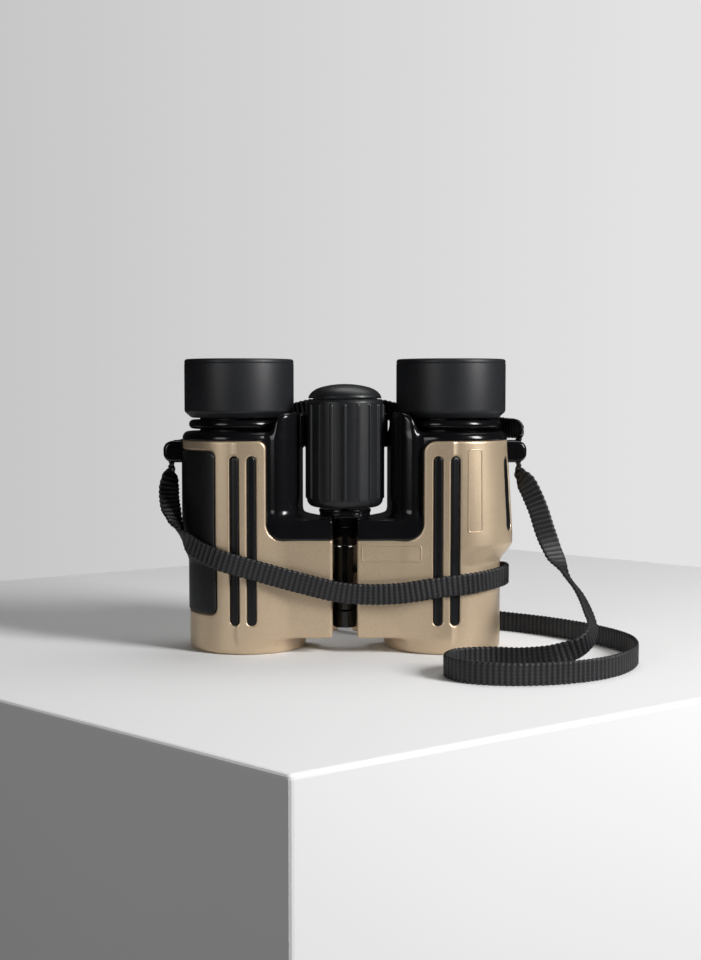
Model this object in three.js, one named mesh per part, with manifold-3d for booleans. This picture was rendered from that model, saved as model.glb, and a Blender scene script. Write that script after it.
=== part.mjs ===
// Compact roof-prism binoculars that stand on their objective ends, with a webbing neck strap.
// Millimetres, +Z up. The origin is on the surface they stand on, midway between the barrels.
// -Y is the front, where the focus knob is. The right half (+X) folds about the centre hinge.
import * as THREE from "three";
import { mergeVertices } from "three/addons/utils/BufferGeometryUtils.js";
import Module from "manifold-3d";

const wasm = await Module();
wasm.setup();

// ---- Driving dimensions ----
// Plan
const pupilDistance = 66; // between the eyepiece axes
const housingInset = 0.6; // prism housing axis, inboard of the eyepiece axis
const barrelInset = 2.5; // objective barrel axis, inboard of the eyepiece axis
const housingRadius = 18.25;
const barrelRadius = 18.1;
const wall = 1.6;
const frontRelief = 1.75; // the flat front stands this far behind the housing's front
const seamInset = 8.6; // seam between shell and frame, inboard of the housing axis
const hingeBehindFront = 10; // hinge axis behind the flat front
const bridgeGap = 7.5; // between the two halves at the hinge
const bridgeDepth = 28.5; // of the frame's arm, front to back
const blockDepth = 22.5; // of the shell's bridge block
const frameRearRelief = 2.25; // the frame's back stands this far inside the housing's back
// Heights
const blockLift = 4.85; // underside of the bridge block
const barrelLength = 34.8; // up to the seam under the frame
const bridgeThickness = 6.3;
const housingHeight = 30.4; // from that seam to the top of the shell
const capThickness = 2.8;
const shoulderRise = 5; // of the frame beside the knob, above the cap
const ringHeight = 2.8;
const cupHeight = 18.1;
// Knob
const knobRadius = 12.3;
const knobWallGap = 1.76; // between the knob and the frame
const knobHeight = 37.8;
const ribCount = 18;
const ribDepth = 0.55;
// Trim
const slotWidth = 3;
const slotPitch = 5.2;
const slotTop = 60.4;
const slotBottom = 9;
const sideSlotBottom = 36.7;
const sideSlotTop = 59.7;
const sideSlotWidth = 4.4;
const sideSlotAngle = 69; // round the housing from its front
const slotDepth = 1;
const gripBottom = 12;
const gripTop = 62;
const gripStart = 22; // degrees round the housing from its front
const gripEnd = 128;
const gripProud = 0.25;
// Eyepiece
const tubeRadius = 12.2;
const tubeWall = 1.6;
const ringWall = 3.1;
const cupCarrierWall = 1.6;
const cupWall = 2.6;
// Objective
const cellWall = 1.9;
const focusCarrierWall = 5.1;
// Strap and lugs
const lugReach = 5.7; // beyond the housing
const lugWidth = 9;
const lugBottom = 57.8;
const lugHeight = 6.8;
const lugSlotInset = 1.2; // outer side of the slot, in from the lug's tip
const strapWidth = 6.3;
const strapThickness = 1.3;
// Clearances
const seam = 0.3; // between touching pieces
const fitGap = 0.2; // round inserts and grips
const slideGap = 0.4; // round sliding and turning pieces

// ---- Sizes that follow ----
const eyeX = pupilDistance / 2;
const housingX = eyeX - housingInset;
const barrelX = eyeX - barrelInset;
const front = -(housingRadius - frontRelief);
const back = housingRadius - frameRearRelief;
const hingeY = front + hingeBehindFront;
const innerX = knobRadius + knobWallGap;
const seamX = housingX - seamInset;
const bridgeX = bridgeGap / 2;
const cavityRadius = Math.min(housingRadius, barrelRadius) - wall;
const lensRadius = cavityRadius - slideGap - cellWall - fitGap;
const ringRadius = tubeRadius + slideGap + ringWall;
const cupBore = tubeRadius + slideGap + cupCarrierWall + fitGap;
const cupRadius = cupBore + cupWall;
const bridgeTop = barrelLength + bridgeThickness;
const shellTop = barrelLength + housingHeight;
const capTop = shellTop + capThickness;
const shoulderTop = capTop + shoulderRise;
const ringBottom = capTop + seam;
const ringTop = ringBottom + ringHeight;
const cupBottom = ringTop + 2 * seam;
const cupTop = cupBottom + cupHeight;
const kneeBottom = barrelLength - 8; // where the housing leans in to the barrel
const kneeTop = barrelLength - 2.4;
const knobBottom = bridgeTop + 3.3;
const bandInner = knobRadius + 0.9; // of the bridge behind the knob
const bandOuter = bandInner + 1.4;
const bandBottom = shellTop - 2.7;
const bandTop = capTop + 5;
const round = 30; // sides of a large circle
const fine = 16; // sides of a small circle

// ---- Solids ----
function solid(geometry) {
  const bare = geometry.index ? geometry.toNonIndexed() : geometry.clone();
  bare.deleteAttribute("normal");
  bare.deleteAttribute("uv");
  const merged = mergeVertices(bare, 1e-4);
  const made = new wasm.Manifold(
    new wasm.Mesh({
      numProp: 3,
      vertProperties: merged.attributes.position.array,
      triVerts: new Uint32Array(merged.index.array),
    }),
  );
  return made;
}

function geometryOf(made) {
  const { vertProperties, triVerts } = made.getMesh();
  const geometry = new THREE.BufferGeometry();
  geometry.setAttribute("position", new THREE.BufferAttribute(Float32Array.from(vertProperties), 3));
  geometry.setIndex(new THREE.BufferAttribute(Uint32Array.from(triVerts), 1));
  geometry.computeVertexNormals();
  return geometry;
}

const join = (...parts) => parts.reduce((sum, part) => sum.add(part));
const cut = (body, ...tools) => tools.reduce((left, tool) => left.subtract(tool), body);

// An upright round bar or cone between two heights.
function post(x, y, radius, bottom, top, sides = round, topRadius = radius) {
  const bar = new THREE.CylinderGeometry(topRadius, radius, top - bottom, sides);
  return solid(bar.rotateX(Math.PI / 2).translate(x, y, (bottom + top) / 2));
}

function box(x0, x1, y0, y1, z0, z1) {
  const [w, d, h] = [Math.abs(x1 - x0), y1 - y0, z1 - z0];
  return solid(new THREE.BoxGeometry(w, d, h).translate((x0 + x1) / 2, (y0 + y1) / 2, (z0 + z1) / 2));
}

// A profile of [radius, height] points turned about +Z. A ring's profile closes on itself.
function turned(profile, sides = round) {
  const area = profile.reduce((sum, [r, h], i) => {
    const [nextR, nextH] = profile[(i + 1) % profile.length];
    return sum + r * nextH - nextR * h;
  }, 0);
  const points = profile.map(([r, h]) => new THREE.Vector2(r, h));
  if (area < 0) points.reverse();
  if (profile.every(([r]) => r > 0)) points.push(points[0].clone());
  return new THREE.LatheGeometry(points, sides).rotateX(Math.PI / 2);
}

// A polygon of [x, y, corner radius] points as a shape with round corners.
function rounded(corners) {
  const shape = new THREE.Shape();
  corners.forEach(([x, y, radius = 0], i) => {
    const at = new THREE.Vector2(x, y);
    const before = new THREE.Vector2(...corners.at(i - 1).slice(0, 2)).sub(at);
    const after = new THREE.Vector2(...corners[(i + 1) % corners.length].slice(0, 2)).sub(at);
    const half = before.angleTo(after) / 2;
    const room = Math.min(before.length(), after.length()) / 2;
    const reach = Math.min(radius / Math.tan(half), room);
    const start = before.setLength(reach).add(at);
    const end = after.setLength(reach).add(at);
    if (i === 0) shape.moveTo(start.x, start.y);
    else shape.lineTo(start.x, start.y);
    if (reach > 0) shape.quadraticCurveTo(at.x, at.y, end.x, end.y);
  });
  shape.closePath();
  return shape;
}

// A shape in plan, extruded upwards.
function plate(shape, bottom, top, curveSegments = 6) {
  const settings = { depth: top - bottom, bevelEnabled: false, curveSegments };
  return solid(new THREE.ExtrudeGeometry(shape, settings).translate(0, 0, bottom));
}

// A shape seen from the front, x against z, extruded from front to back.
function panel(shape, nearY, farY, curveSegments = 6) {
  const settings = { depth: farY - nearY, bevelEnabled: false, curveSegments };
  return solid(new THREE.ExtrudeGeometry(shape, settings).rotateX(Math.PI / 2).translate(0, farY, 0));
}

// ---- Scene graph ----
const finishes = {
  gold: [0xb79e80, 0.42, 0.55],
  frame: [0x121214, 0.45, 0.1],
  rubber: [0x1b1c1e, 0.8, 0],
  webbing: [0x101114, 0.95, 0],
  steel: [0x9a9ca0, 0.3, 0.9],
  inside: [0x1c1c1c, 0.7, 0.2],
  glass: [0xcfe0e6, 0.05, 0],
};

const binoculars = new THREE.Group();

function place(name, made, finish, x = 0) {
  const [color, roughness, metalness] = finishes[finish];
  const geometry = made.isBufferGeometry ? made : geometryOf(made);
  const mesh = new THREE.Mesh(geometry, new THREE.MeshStandardMaterial({ color, roughness, metalness }));
  mesh.name = name;
  mesh.position.x = x;
  binoculars.add(mesh);
}

// ---- The body form that shell, frame, grips and inserts share; side is -1 on the left, 1 on the right ----
// Barrel and housing tubes, grown by an offset.
function barrelForm(side, offset) {
  const lower = post(side * barrelX, 0, barrelRadius + offset, 0, kneeTop + 4);
  const knee = post(side * barrelX, 0, barrelRadius + offset, kneeBottom, kneeTop, round, housingRadius + offset);
  const upper = post(side * housingX, 0, housingRadius + offset, kneeTop, shellTop);
  return join(lower, knee, upper);
}

// Plan outline of a bridge arm: flat front, and a back that leans away from the hinge so that the halves can fold.
function armOutline(side, outerX, depth) {
  const rear = front + depth;
  const leanStart = hingeY + 1;
  const leanX = bridgeX + (rear - leanStart) * 0.47;
  return rounded([
    [side * bridgeX, front],
    [side * outerX, front],
    [side * outerX, rear],
    [side * leanX, rear, 1.5],
    [side * bridgeX, leanStart],
  ]);
}

// The region of the black frame, seen from the front and grown by a gap: bridge arm, column and cap.
function frameRegion(side, gap) {
  const capEdge = shellTop - gap;
  const outline = rounded([
    [-side * 5, barrelLength - gap],
    [side * (seamX + gap), barrelLength - gap, 5.5],
    [side * (seamX + gap), capEdge, 4],
    [side * (housingX + 40), capEdge],
    [side * (housingX + 40), shoulderTop + 10],
    [-side * 5, shoulderTop + 10],
  ]);
  return panel(outline, -40, 40, 8);
}

// Column beside the knob, with round inner edges.
function frameColumn(side) {
  const outline = rounded([
    [side * innerX, front, 7],
    [side * seamX, front],
    [side * housingX, front + 1],
    [side * housingX, back],
    [side * innerX, back, 8],
  ]);
  return plate(outline, barrelLength, shoulderTop);
}

function cavity(side) {
  return join(
    post(side * barrelX, 0, cavityRadius, -1, barrelLength),
    post(side * housingX, 0, cavityRadius, barrelLength - 1, shellTop - 1.8),
  );
}

// A groove's outline with round ends, as a bar through the front of the barrel.
function slotBar(centreX, bottom, top, width) {
  const half = width / 2;
  const outline = rounded([
    [centreX - half, bottom, half],
    [centreX + half, bottom, half],
    [centreX + half, top, half],
    [centreX - half, top, half],
  ]);
  return panel(outline, -housingRadius - 5, -housingRadius + 6, 5);
}

// The same bar turned round the housing's axis to an angle from the front.
function turnedBar(side, bar, angle) {
  return bar
    .translate([-side * housingX, 0, 0])
    .rotate([0, 0, side * angle])
    .translate([side * housingX, 0, 0]);
}

function slotBars(side, shrink) {
  const middle = side * (housingX - 1.7);
  const width = slotWidth - 2 * shrink;
  const bars = {
    inner: slotBar(middle - (side * slotPitch) / 2, slotBottom + shrink, slotTop - shrink, width),
    outer: slotBar(middle + (side * slotPitch) / 2, slotBottom + shrink, slotTop - shrink, width),
  };
  if (side > 0) {
    const sideWidth = sideSlotWidth - 2 * shrink;
    const bar = slotBar(side * housingX, sideSlotBottom + shrink, sideSlotTop - shrink, sideWidth);
    bars.side = turnedBar(side, bar, sideSlotAngle);
  }
  return bars;
}

// A wedge of the barrel from one angle to another, for the side grip.
function gripWedge(side, shrink) {
  const shape = new THREE.Shape();
  const reach = housingRadius + 6;
  const shrinkAngle = THREE.MathUtils.radToDeg(shrink / housingRadius);
  shape.moveTo(side * (housingX - 4), 0);
  const steps = 8;
  for (let i = 0; i <= steps; i++) {
    const spread = gripEnd - gripStart - 2 * shrinkAngle;
    const angle = THREE.MathUtils.degToRad(gripStart + shrinkAngle + (spread * i) / steps);
    shape.lineTo(side * (housingX + reach * Math.sin(angle)), -reach * Math.cos(angle));
  }
  shape.closePath();
  return plate(shape, gripBottom + shrink, gripTop - shrink);
}

// ---- Hinge line ----
const knuckleRadius = bridgeX - seam;
const knuckleBore = 2.6;
const pinRadius = 1.5;
const screwRadius = 1.2;
const knuckles = [
  { name: "left_upper_knuckle", side: -1, bottom: bridgeTop - 3.1, top: bridgeTop - seam, bore: knuckleBore },
  { name: "right_upper_knuckle", side: 1, bottom: bridgeTop - 8.7, top: bridgeTop - 3.4, bore: knuckleBore },
  { name: "right_lower_knuckle", side: 1, bottom: blockLift + 7.85, top: blockLift + 10.85, bore: pinRadius + fitGap },
  { name: "hinge_end_cap", side: -1, bottom: blockLift + 2.25, top: blockLift + 7.55, bore: pinRadius + fitGap, blind: 1.3 },
];

// A knuckle's tongue sits in a pocket of its own half, inside either the frame or the block.
function tongue(side, bottom, top, grow) {
  const low = Math.max(bottom, bottom > blockLift + 20 ? barrelLength + 2 * seam : bottom) + 0.3;
  const inner = side * (knuckleRadius - 1 - grow);
  const outer = side * (bridgeX + 3 + grow);
  return box(inner, outer, hingeY - 1.5 - grow, hingeY + 1.5 + grow, low - grow, top - 0.3 + grow);
}

for (const { name, side, bottom, top, bore, blind = 0 } of knuckles) {
  const body = join(post(0, hingeY, knuckleRadius, bottom, top, fine), tongue(side, bottom, top, 0));
  const hole = post(0, hingeY, bore, blind ? bottom + blind : bottom - 1, top + 1, fine);
  place(name, cut(body, hole), "frame");
}

function knucklePockets(side) {
  const own = knuckles.filter((knuckle) => knuckle.side === side);
  return join(...own.map(({ bottom, top }) => tongue(side, bottom, top, fitGap)));
}

const [, rightUpper, rightLower, endCap] = knuckles;
const collarRadius = 8;
const collar = post(0, hingeY, collarRadius, bridgeTop + seam, knobBottom - 2 * seam, fine);
place("knob_collar", cut(collar, post(0, hingeY, knuckleBore, bridgeTop, knobBottom, fine)), "frame");
const hingeTube = post(0, hingeY, knuckleBore - fitGap, rightUpper.bottom + seam, knobBottom - 2 * seam, fine);
place("hinge_tube", cut(hingeTube, post(0, hingeY, screwRadius + seam, 0, 60, fine)), "steel");
const pinBottom = endCap.bottom + endCap.blind + seam;
place("hinge_pin", post(0, hingeY, pinRadius, pinBottom, rightLower.top, fine), "steel");

// Cover strip in front of the focus nut, part of a tube.
const stripBottom = rightLower.top + seam;
const stripTop = rightUpper.bottom - seam;
const strip = new THREE.Shape();
const stripFrom = THREE.MathUtils.degToRad(-90 - 66);
const stripTo = THREE.MathUtils.degToRad(-90 + 46); // short of the right arm when the halves fold back
strip.absarc(0, hingeY, knuckleRadius, stripFrom, stripTo, false);
strip.absarc(0, hingeY, knuckleRadius - 0.5, stripTo, stripFrom, true);
place("hinge_cover_strip", plate(strip, stripBottom, stripTop, 10), "frame");

// ---- Focus drive ----
const focusTravel = 1.5; // each way
const armThickness = 1.8;
const nutBottom = (stripBottom + stripTop) / 2 - 4;
const leftArmBottom = nutBottom + 1.8;
const rightArmBottom = leftArmBottom + armThickness + seam;
const nutFlangeTop = rightArmBottom + armThickness + seam;
const nutWaist = 1.9;
const nutFlange = 2.6;
const armHalf = 0.8;

const nut = join(
  post(0, hingeY, nutFlange, nutBottom, leftArmBottom - seam, fine),
  post(0, hingeY, nutWaist, nutBottom, nutFlangeTop + 1.5, fine),
  post(0, hingeY, nutFlange, nutFlangeTop, nutFlangeTop + 1.5, fine),
);
place("focus_nut", cut(nut, post(0, hingeY, screwRadius + fitGap, 0, 60, fine)), "steel");
const screwTop = knobBottom + 8;
place("focus_screw", post(0, hingeY, screwRadius, stripBottom + seam, screwTop, fine), "steel");

// Windows through block and barrel wall for the focus arms.
function armWindow(side) {
  const reach = side * (barrelX - cavityRadius + 3);
  const low = leftArmBottom - focusTravel - slideGap;
  const high = nutFlangeTop + focusTravel + slideGap;
  return box(side * (bridgeX - 1), reach, hingeY - armHalf - 0.6, hingeY + armHalf + 0.6, low, high);
}

// ---- Lug ----
function lug(side) {
  const tip = housingX + housingRadius + lugReach;
  const lugTop = lugBottom + lugHeight;
  const root = side * (housingX + 12);
  const outline = rounded([
    [root, lugBottom],
    [side * tip, lugBottom, 3],
    [side * tip, lugTop, 3],
    [root, lugTop],
  ]);
  const slotOuter = tip - lugSlotInset;
  const slotInner = slotOuter - strapThickness - 2 * fitGap;
  const slotHalf = strapWidth / 2 + 2 * fitGap;
  const slot = box(side * slotInner, side * slotOuter, -slotHalf, slotHalf, lugBottom - 1, lugTop + 1);
  const ear = cut(panel(outline, -lugWidth / 2, lugWidth / 2), slot, barrelForm(side, gripProud + fitGap));
  return ear.decompose().sort((a, b) => b.volume() - a.volume())[0];
}

// ---- Each half ----
for (const side of [-1, 1]) {
  const half = side < 0 ? "left" : "right";
  const grooves = Object.values(slotBars(side, 0)).map((bar) => cut(bar, barrelForm(side, -slotDepth)));

  // Shell: barrel, housing and bridge block, hollow, less the frame's region.
  const block = plate(armOutline(side, barrelX, blockDepth), blockLift, barrelLength);
  let shell = cut(join(barrelForm(side, 0), block), cavity(side), frameRegion(side, seam), ...grooves);
  const eyepieceHole = post(side * eyeX, 0, tubeRadius + seam, shellTop - 3, shoulderTop + 1);
  shell = cut(shell, armWindow(side), knucklePockets(side), eyepieceHole);
  if (side < 0) shell = cut(shell, cut(gripWedge(side, 0), barrelForm(side, -0.8)));
  place(`${half}_shell`, shell, "gold");

  // Frame: bridge arm, column with its shoulder, and cap.
  const arm = plate(armOutline(side, housingX - 6, bridgeDepth), barrelLength, bridgeTop);
  const cap = post(side * housingX, 0, housingRadius, shellTop - 1.6, capTop);
  const housing = post(side * housingX, 0, housingRadius, barrelLength, capTop);
  const whole = join(arm, frameColumn(side), cap, housing).intersect(frameRegion(side, 0));
  const frame = cut(
    whole,
    cavity(side),
    eyepieceHole,
    post(side * eyeX, 0, cupRadius + 0.6, capTop, shoulderTop + 1),
    post(0, hingeY, bandOuter + seam, bandBottom - seam, bandTop + seam),
    knucklePockets(side),
  );
  place(`${half}_frame`, frame, "frame");

  // Rubber inserts in the grooves.
  for (const [where, bar] of Object.entries(slotBars(side, fitGap))) {
    const insert = cut(bar.intersect(barrelForm(side, -0.15)), barrelForm(side, -slotDepth + fitGap));
    place(`${half}_${where}_insert`, insert, "rubber");
  }
  if (side < 0) {
    const grip = gripWedge(side, fitGap).intersect(barrelForm(side, gripProud));
    place("left_side_grip", cut(grip, barrelForm(side, -0.6)), "rubber");
  }
  place(`${half}_strap_lug`, lug(side), "frame");

  // Objective cell with its two lenses.
  const cellRadius = cavityRadius - slideGap;
  const cellTop = 13.5;
  const recess = 1.2;
  const lip = 1.2;
  const cell = [
    [lensRadius - 1, recess],
    [cellRadius, recess],
    [cellRadius, cellTop],
    [lensRadius + fitGap, cellTop],
    [lensRadius + fitGap, recess + lip],
    [lensRadius - 1, recess + lip],
  ];
  place(`${half}_objective_cell`, turned(cell), "inside", side * barrelX);
  const crownBottom = recess + lip + seam + 1.4;
  const crown = [
    [0, crownBottom - 1.4],
    [lensRadius / 2, crownBottom - 1.05],
    [lensRadius, crownBottom],
    [lensRadius, crownBottom + 2.2],
    [lensRadius / 2, crownBottom + 3.2],
    [0, crownBottom + 3.6],
  ];
  place(`${half}_objective_crown`, turned(crown, fine), "glass", side * barrelX);
  const flintBottom = crownBottom + 2.5;
  const flint = [
    [0, flintBottom + 1.4],
    [lensRadius / 2, flintBottom + 1],
    [lensRadius, flintBottom],
    [lensRadius, flintBottom + 3.6],
    [0, flintBottom + 3.2],
  ];
  place(`${half}_objective_flint`, turned(flint, fine), "glass", side * barrelX);

  // Focusing carrier, its lens and the arm that the nut moves.
  const carrierBottom = leftArmBottom - 1;
  const carrierTop = carrierBottom + 6;
  const carrierBore = cavityRadius - slideGap - focusCarrierWall;
  const carrierRing = cut(
    post(side * barrelX, 0, cavityRadius - slideGap, carrierBottom, carrierTop),
    post(side * barrelX, 0, carrierBore, carrierBottom - 1, carrierTop + 1),
  );
  const armEnd = barrelX - cavityRadius + 2.2;
  const notchHalf = armHalf + seam;
  const notch = box(0, side * (armEnd + seam), hingeY - notchHalf, hingeY + notchHalf, carrierBottom - 1, carrierTop + 1);
  place(`${half}_focus_carrier`, cut(carrierRing, notch), "inside");
  const focusLens = [
    [0, carrierBottom + 2.2],
    [carrierBore - fitGap, carrierBottom + 1],
    [carrierBore - fitGap, carrierBottom + 4.6],
    [0, carrierBottom + 3.4],
  ];
  place(`${half}_focus_lens`, turned(focusLens, fine), "glass", side * barrelX);
  const armBottom = side < 0 ? leftArmBottom : rightArmBottom;
  const focusArm = cut(
    join(
      post(0, hingeY, nutFlange, armBottom, armBottom + armThickness, fine),
      box(side * 1.5, side * armEnd, hingeY - armHalf, hingeY + armHalf, armBottom, armBottom + armThickness),
    ),
    post(0, hingeY, nutWaist + fitGap, armBottom - 1, armBottom + armThickness + 1, fine),
  );
  place(`${half}_focus_arm`, focusArm, "steel");

  // Prism shelf with the two prisms on it.
  const shelfBottom = barrelLength + 0.6;
  const shelfTop = shelfBottom + 1.2;
  const shelf = cut(
    post(side * housingX, 0, cavityRadius - slideGap, shelfBottom, shelfTop),
    post(side * housingX, 0, 7.5, shelfBottom - 1, shelfTop + 1, fine),
  );
  place(`${half}_prism_shelf`, shelf, "inside");
  const prismHalf = 8.5;
  const splitZ = shelfTop + seam + 11;
  const lowerPrism = rounded([
    [side * (housingX - prismHalf), shelfTop + seam],
    [side * (housingX + prismHalf), shelfTop + seam],
    [side * (housingX + prismHalf), splitZ - 3],
    [side * (housingX - prismHalf), splitZ + 5],
  ]);
  place(`${half}_half_penta_prism`, panel(lowerPrism, -prismHalf, prismHalf), "glass");
  const prismTop = shellTop - 5.5;
  const upperPrism = rounded([
    [side * (housingX - prismHalf), splitZ + 5.6],
    [side * (housingX + prismHalf), splitZ - 2.4],
    [side * (housingX + prismHalf), prismTop - 6],
    [side * housingX, prismTop],
    [side * (housingX - prismHalf), prismTop],
  ]);
  place(`${half}_roof_prism`, panel(upperPrism, -prismHalf, prismHalf), "glass");

  // Eyepiece tube with its lenses, neck ring, and the twist-up eyecup on its carrier.
  const tubeTop = cupTop - 8.9;
  const tubeBore = tubeRadius - tubeWall;
  const tubeBottom = shellTop - 4.2;
  const lensSeat = tubeBore - 0.3;
  const tube = [
    [tubeBore, tubeBottom],
    [tubeRadius, tubeBottom],
    [tubeRadius, tubeTop],
    [tubeBore, tubeTop],
  ];
  place(`${half}_eyepiece_tube`, turned(tube), "inside", side * eyeX);
  const fieldLens = [
    [0, tubeBottom + 1],
    [lensSeat, tubeBottom + 2.2],
    [lensSeat, tubeBottom + 4.4],
    [0, tubeBottom + 5.6],
  ];
  place(`${half}_field_lens`, turned(fieldLens, fine), "glass", side * eyeX);
  const eyeLens = [
    [0, tubeTop - 6],
    [lensSeat, tubeTop - 4.6],
    [lensSeat, tubeTop - 2],
    [lensSeat / 2, tubeTop - 1],
    [0, tubeTop - 0.7],
  ];
  place(`${half}_eye_lens`, turned(eyeLens, fine), "glass", side * eyeX);
  const ringBore = tubeRadius + slideGap;
  const ring = [
    [ringBore, ringBottom],
    [ringRadius - 1, ringBottom],
    [ringRadius - 0.25, ringBottom + 0.6],
    [ringRadius, ringBottom + 1.4],
    [ringRadius - 0.25, ringTop - 0.6],
    [ringRadius - 1, ringTop],
    [ringBore, ringTop],
  ];
  place(side < 0 ? "left_neck_ring" : "right_diopter_ring", turned(ring), "frame", side * eyeX);
  const ledge = cupTop - 8;
  const carrier = [
    [tubeRadius + slideGap, cupBottom + seam],
    [cupBore - fitGap, cupBottom + seam],
    [cupBore - fitGap, ledge - 0.6],
    [tubeRadius + slideGap, ledge - 0.6],
  ];
  place(`${half}_eyecup_carrier`, turned(carrier), "inside", side * eyeX);
  const cup = [
    [cupBore, cupBottom],
    [cupRadius - 2.5, cupBottom],
    [cupRadius, cupBottom + 1.4],
    [cupRadius, cupTop - 0.8],
    [cupRadius - 0.25, cupTop - 0.25],
    [cupRadius - 0.8, cupTop],
    [cupRadius - 2.2, cupTop],
    [cupRadius - 3, cupTop - 0.6],
    [cupRadius - 3.8, ledge + 1.6],
    [tubeRadius - 1.4, ledge + 1.6],
    [tubeRadius - 1.4, ledge],
    [cupBore, ledge],
  ];
  place(`${half}_eyecup`, turned(cup), "rubber", side * eyeX);
}

// ---- Rear bridge: a curved guide round the back of the knob that both frames run on ----
const band = new THREE.Shape();
const bandStart = THREE.MathUtils.degToRad(22);
const bandEnd = THREE.MathUtils.degToRad(200);
band.absarc(0, hingeY, bandOuter, bandStart, bandEnd, false);
band.absarc(0, hingeY, bandInner, bandEnd, bandStart, true);
const cupRooms = [-1, 1].map((side) => post(side * eyeX, 0, cupRadius + slideGap, cupBottom - seam, cupTop));
place("rear_bridge", cut(plate(band, bandBottom, bandTop, 24), ...cupRooms), "frame");

// ---- Focus knob ----
const coreRadius = 9.6;
const ribBottom = knobBottom + 2.3;
const ribTop = knobBottom + 31.3;
const gripTopZ = knobBottom + 33;
const ribs = new THREE.Shape();
const pitch = (2 * Math.PI) / ribCount;
for (let i = 0; i < ribCount; i++) {
  // Each rib is a narrow ridge on the sleeve.
  const corners = [
    [-0.07, knobRadius],
    [0.07, knobRadius],
    [0.12, knobRadius - ribDepth],
    [0.88, knobRadius - ribDepth],
  ];
  for (const [turn, radius] of corners) {
    const angle = (i + turn) * pitch;
    const [x, y] = [radius * Math.cos(angle), hingeY + radius * Math.sin(angle)];
    if (i === 0 && turn < 0) ribs.moveTo(x, y);
    else ribs.lineTo(x, y);
  }
}
ribs.closePath();
const sleeve = [
  [coreRadius + fitGap, knobBottom],
  [knobRadius - ribDepth - 1.6, knobBottom],
  [knobRadius - ribDepth, knobBottom + 1.6],
  [knobRadius - ribDepth, ribTop + 0.6],
  [knobRadius - 1.3, gripTopZ],
  [coreRadius + fitGap, gripTopZ],
];
const ribbed = cut(plate(ribs, ribBottom, ribTop), post(0, hingeY, knobRadius - ribDepth - 0.5, 0, cupTop));
const grip = join(solid(turned(sleeve).translate(0, hingeY, 0)), ribbed);
place("knob_grip", grip, "rubber");
const core = cut(
  post(0, hingeY, coreRadius, knobBottom + seam, gripTopZ - seam),
  post(0, hingeY, screwRadius + fitGap, knobBottom - 1, screwTop + 0.5, fine),
);
place("knob_core", core, "inside");
const knobTop = knobBottom + knobHeight;
const domeBottom = gripTopZ + seam;
const domeRise = knobTop - domeBottom;
const dome = [[0, domeBottom]];
const domeSteps = 5;
for (let i = 0; i <= domeSteps; i++) {
  const angle = (i / domeSteps) * (Math.PI / 2);
  dome.push([(knobRadius - 1.4) * Math.cos(angle) ** 0.8, domeBottom + domeRise * Math.sin(angle)]);
}
dome[dome.length - 1][0] = 0;
place("knob_cap", turned(dome).translate(0, hingeY, 0), "rubber");

// ---- Straps: flat webbing along chosen points, each with the direction its width points in ----
class WebbingPath extends THREE.CatmullRomCurve3 {
  constructor(stations) {
    super(stations.map(([x, y, z]) => new THREE.Vector3(x, y, z)), false, "centripetal");
    this.widths = stations.map(([, , , x, y, z]) => new THREE.Vector3(x, y, z));
    this.lengths = this.getLengths(400);
  }

  // Width direction at a share of the length, blended between the stations on each side.
  widthAt(share) {
    const spot = this.getUtoTmapping(share) * (this.widths.length - 1);
    const i = Math.min(Math.floor(spot), this.widths.length - 2);
    return this.widths[i].clone().lerp(this.widths[i + 1], spot - i);
  }

  computeFrenetFrames(segments) {
    const frames = { tangents: [], normals: [], binormals: [] };
    for (let i = 0; i <= segments; i++) {
      const tangent = this.getTangentAt(i / segments).normalize();
      const width = this.widthAt(i / segments);
      width.addScaledVector(tangent, -width.dot(tangent)).normalize();
      frames.tangents.push(tangent);
      frames.normals.push(width);
      frames.binormals.push(new THREE.Vector3().crossVectors(tangent, width));
    }
    return frames;
  }
}

// Section of the webbing: x is its width and y its thickness, with the corners taken off.
function webbing(stations, steps) {
  const [w, t, c] = [strapWidth / 2, strapThickness / 2, strapThickness / 3];
  const section = new THREE.Shape([
    new THREE.Vector2(-w, -t + c),
    new THREE.Vector2(-w + c, -t),
    new THREE.Vector2(w - c, -t),
    new THREE.Vector2(w, -t + c),
    new THREE.Vector2(w, t - c),
    new THREE.Vector2(w - c, t),
    new THREE.Vector2(-w + c, t),
    new THREE.Vector2(-w, t - c),
  ]);
  return new THREE.ExtrudeGeometry(section, { steps, extrudePath: new WebbingPath(stations) });
}

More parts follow.
